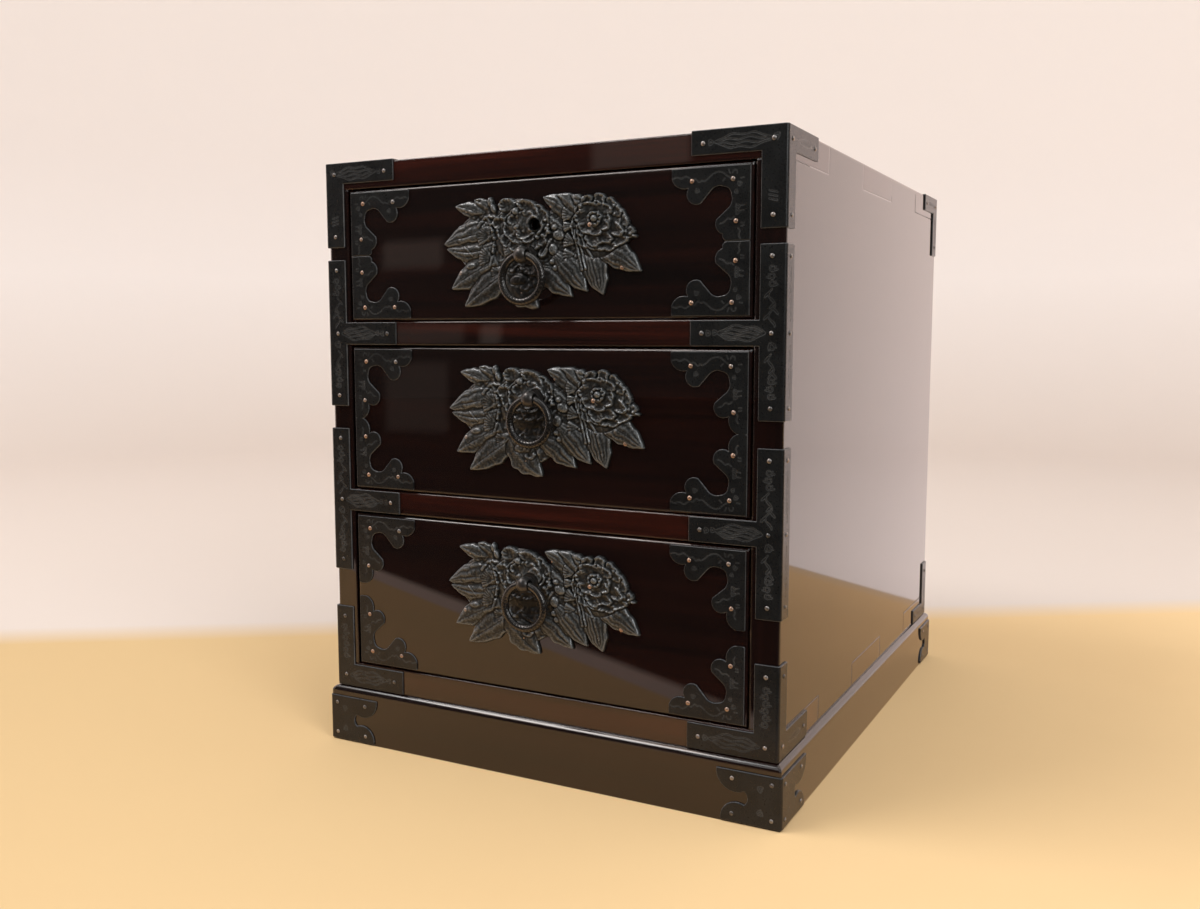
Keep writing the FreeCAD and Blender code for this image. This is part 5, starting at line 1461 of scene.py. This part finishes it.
def sweep_finish():
    """Pale floor and wall. Painted reflections: in mirror rays only, the floor is paler, the floor behind
    the chest shows as a glowing wall, and in front come a mat edge and then a dark room.
    """
    made = Finish("pale_sweep")
    where = made.node("ShaderNodeTexCoord").outputs["Object"]
    place = made.node("ShaderNodeSeparateXYZ", {0: where}).outputs
    mirrored = made.node("ShaderNodeLightPath").outputs["Is Glossy Ray"]

    def in_mirrors(share):
        return made.maths("MULTIPLY", share, mirrored)

    def along(line):
        return made.maths("MULTIPLY_ADD", place["X"], *line)

    # how far a place lies behind the one line and in front of the other
    behind = made.maths("ADD", along(REAR_LINE), place["Y"])
    ahead = made.maths("SUBTRACT", along(FRONT_LINE), place["Y"])
    rise = made.spread(place["Z"], 0.02, 0.5)
    walled = in_mirrors(made.spread(behind, 0.0, 0.012))
    hem = in_mirrors(made.spread(ahead, -0.032, -0.024))
    # painted shade and light: the floor darker to the left, paler to the right
    colour = made.blend(made.spread(place["X"], -0.9, 0.9), FLOOR_LEFT_PAINTED_SHADE, FLOOR_RIGHT_PAINTED_LIGHT)
    colour = made.blend(made.sway(made.noise(3.0, 4, 0.6), 0.0, 0.25), colour, FLOOR_MOTTLE)
    # painted reflection: in mirror rays the floor is a paler orange
    colour = made.blend(mirrored, colour, PAINTED_FLOOR_REFLECTION)
    colour = made.blend(made.spread(behind, -0.03, 0.05), colour, FAR_PALE)
    colour = made.blend(rise, colour, WALL_PALE)
    # painted reflections, in mirror rays only: a wall behind the chest, a mat edge and a dark room in front
    colour = made.blend(walled, colour, PAINTED_WALL_REFLECTION)
    colour = made.blend(made.maths("MULTIPLY", hem, 0.75), colour, PAINTED_MAT_EDGE_REFLECTION)
    colour = made.blend(in_mirrors(made.spread(ahead, -0.004, 0.014)), colour, PAINTED_DARK_ROOM_REFLECTION)
    # painted glow: in mirror rays the wall and the floor behind the chest glow, fading towards the front
    wall = made.maths("MAXIMUM", walled, in_mirrors(rise))
    wall = made.maths("MULTIPLY", wall, made.spread(ahead, -0.4, 0.2, 1.0, 0.1))
    made.set(base_color=colour, roughness=0.9, specular_ior_level=0.1)
    return made.set(emission_color=PAINTED_WALL_REFLECTION, emission_strength=made.maths("MULTIPLY", wall, 0.55))


def sweep_mesh(radius, bend, height):
    """A round floor whose rear half curls up into a wall."""
    curve = np.linspace(0, math.pi / 2, 13)
    profile = [(radius - bend + bend * math.sin(a), bend - bend * math.cos(a)) for a in curve]
    profile.append((radius, height))
    away, half = math.radians(90 + 27.7), math.pi * 0.62
    turns = np.linspace(away - half, away + half, 61)
    points = [(0, 0, 0)] + [(out * math.cos(t), out * math.sin(t), up) for t in turns for out, up in profile]
    count, faces = len(profile), []
    for first in range(1, len(points) - count, count):
        faces.append((0, first, first + count))
        faces += [(a, a + 1, a + count + 1, a + count) for a in range(first, first + count - 1)]
    # the open front part of the floor
    rim, front = len(points), np.linspace(away + half, away + 2 * math.pi - half, 25)
    points += [((radius + 2) * math.cos(t), (radius + 2) * math.sin(t), 0) for t in front]
    faces += [(0, a, a + 1) for a in range(rim, len(points) - 1)]
    return new_mesh(points, faces, unit=1)


PATCHES = [
    # left, right, bottom, top, brightness; the last lies flat overhead, its rows along y
    (-1.80, -1.54, 0.01, 0.25, 0.17), (-1.80, -1.55, 0.5, 0.61, 0.32), (-1.76, -1.48, 0.27, 0.36, 0.25),
    (-1.45, -1.35, 0.27, 0.36, 0.45), (-1.08, -0.76, 0.74, 0.92, 0.4), (-1.95, -0.85, -1.9, -0.45, 5.0),
]
FADE, PATCH_Y, OVERHEAD = 0.03, -2.3, 2.6


def mirrored_room():
    """Painted reflections: patches of a dim room, and a bright one overhead, that glow only in mirror rays
    so that only the lacquer and the iron show them, fading at their rims.
    """
    points, faces, glows = [], [], []
    for patch in PATCHES:
        left, right, bottom, top, glow = patch
        for j, row in enumerate((bottom, bottom + FADE, top - FADE, top)):
            for i, x in enumerate((left, left + FADE, right - FADE, right)):
                if i < 3 and j < 3:
                    a = len(points)
                    faces.append((a, a + 1, a + 5, a + 4))
                points.append((x, row, OVERHEAD) if patch is PATCHES[-1] else (x, PATCH_Y, row))
                glows.append(glow if i in (1, 2) and j in (1, 2) else 0.0)
    made = Finish("mirrored_room")
    mirrored = made.node("ShaderNodeLightPath").outputs["Is Glossy Ray"]
    glow = made.maths("MULTIPLY", made.carried("glow"), mirrored)
    made.set(base_color=(0, 0, 0), alpha=0.0, specular_ior_level=0.0)
    light = made.node("ShaderNodeEmission", {"Color": (1.0, 0.78, 0.66, 1), "Strength": glow})
    both = made.node("ShaderNodeAddShader", {0: made.surface.outputs[0], 1: light.outputs[0]})
    made.feed(made.sink.inputs["Surface"], both.outputs[0])
    mesh = new_mesh(points, faces, smooth=False, unit=1, glow=glows)
    return add_object("mirrored_room", mesh, made.material)


add_object("pale_sweep", sweep_mesh(3.1, 0.9, 3.2), sweep_finish())
mirrored_room()

LAMPS = [
    # name, place, aim, width, height, power
    ("ceiling_light", (0.9, -0.3, 2.5), (0.3, 0, 0), 2.2, 2.2, 18),
    ("ceiling_strip", (-1.95, -1.5, 3.6), (0.2, -0.3, 0.1), 2.4, 1.15, 78),
    ("window_left", (-2.6, -1.5, 1.5), (0, 0, 0.25), 0.75, 0.95, 5),
    ("window_right", (2.4, -1.6, 1.5), (0, 0, 0.2), 1.2, 1.4, 40),
    ("room_lamp", (-0.55, -2.5, 1.9), (0.15, -0.2, 0.3), 0.9, 0.5, 4),
    ("wall_wash", (0.6, 0.9, 2.6), (0.4, 3.0, 0.9), 2.4, 0.8, 6),
]
for name, place, aim, width, height, power in LAMPS:
    light = bpy.data.lights.new(name, "AREA")
    light.shape = "RECTANGLE"
    light.size, light.size_y, light.energy = width, height, power
    lamp = link_object(name, light)
    lamp.location = place
    lamp.rotation_euler = (Vector(aim) - Vector(place)).to_track_quat("-Z", "Y").to_euler()


def room_light(tree):
    """Pale to the eye and behind the chest; dim where the drawer fronts mirror the room."""
    made = Graph(tree)
    way = {0: made.node("ShaderNodeTexCoord").outputs["Generated"], 1: (-0.465, 0.885, 0.0)}
    toward = made.node("ShaderNodeVectorMath", way, operation="DOT_PRODUCT").outputs["Value"]
    ray = made.node("ShaderNodeLightPath").outputs
    room = made.blend(made.spread(toward, -0.35, 0.25), (0.055, 0.045, 0.042), (0.8, 0.77, 0.73))
    soft = made.blend(ray["Is Glossy Ray"], (0.42, 0.41, 0.4), room)
    seen = made.blend(ray["Is Camera Ray"], soft, (0.93, 0.9, 0.86))
    back = made.node("ShaderNodeBackground", {"Color": seen})
    made.node("ShaderNodeOutputWorld", {"Surface": back.outputs[0]})


world = bpy.data.worlds.new("room")
bpy.context.scene.world = world
world.use_nodes = True
room_light(world.node_tree)

# The camera as solved from the photo: its turn, tilt and roll, its place and its lens

turn, tilt, roll = math.radians(27.68), math.radians(6.12), math.radians(-0.03)
inward = -Vector((math.sin(turn) * math.cos(tilt), -math.cos(turn) * math.cos(tilt), math.sin(tilt)))
lens_data = bpy.data.cameras.new("photo_view")
lens_data.lens, lens_data.sensor_width, lens_data.sensor_fit = 33.66, 36.0, "HORIZONTAL"
lens_data.clip_start, lens_data.clip_end = 0.05, 30.0
camera = link_object("photo_view", lens_data)
camera.location = (0.4021, -0.88365, 0.3175)
aimed = inward.to_track_quat("-Z", "Y").to_matrix() @ Matrix.Rotation(roll, 3, "Z")
camera.rotation_euler = aimed.to_euler()
bpy.context.scene.camera = camera
bpy.context.scene.view_settings.view_transform = "Standard"
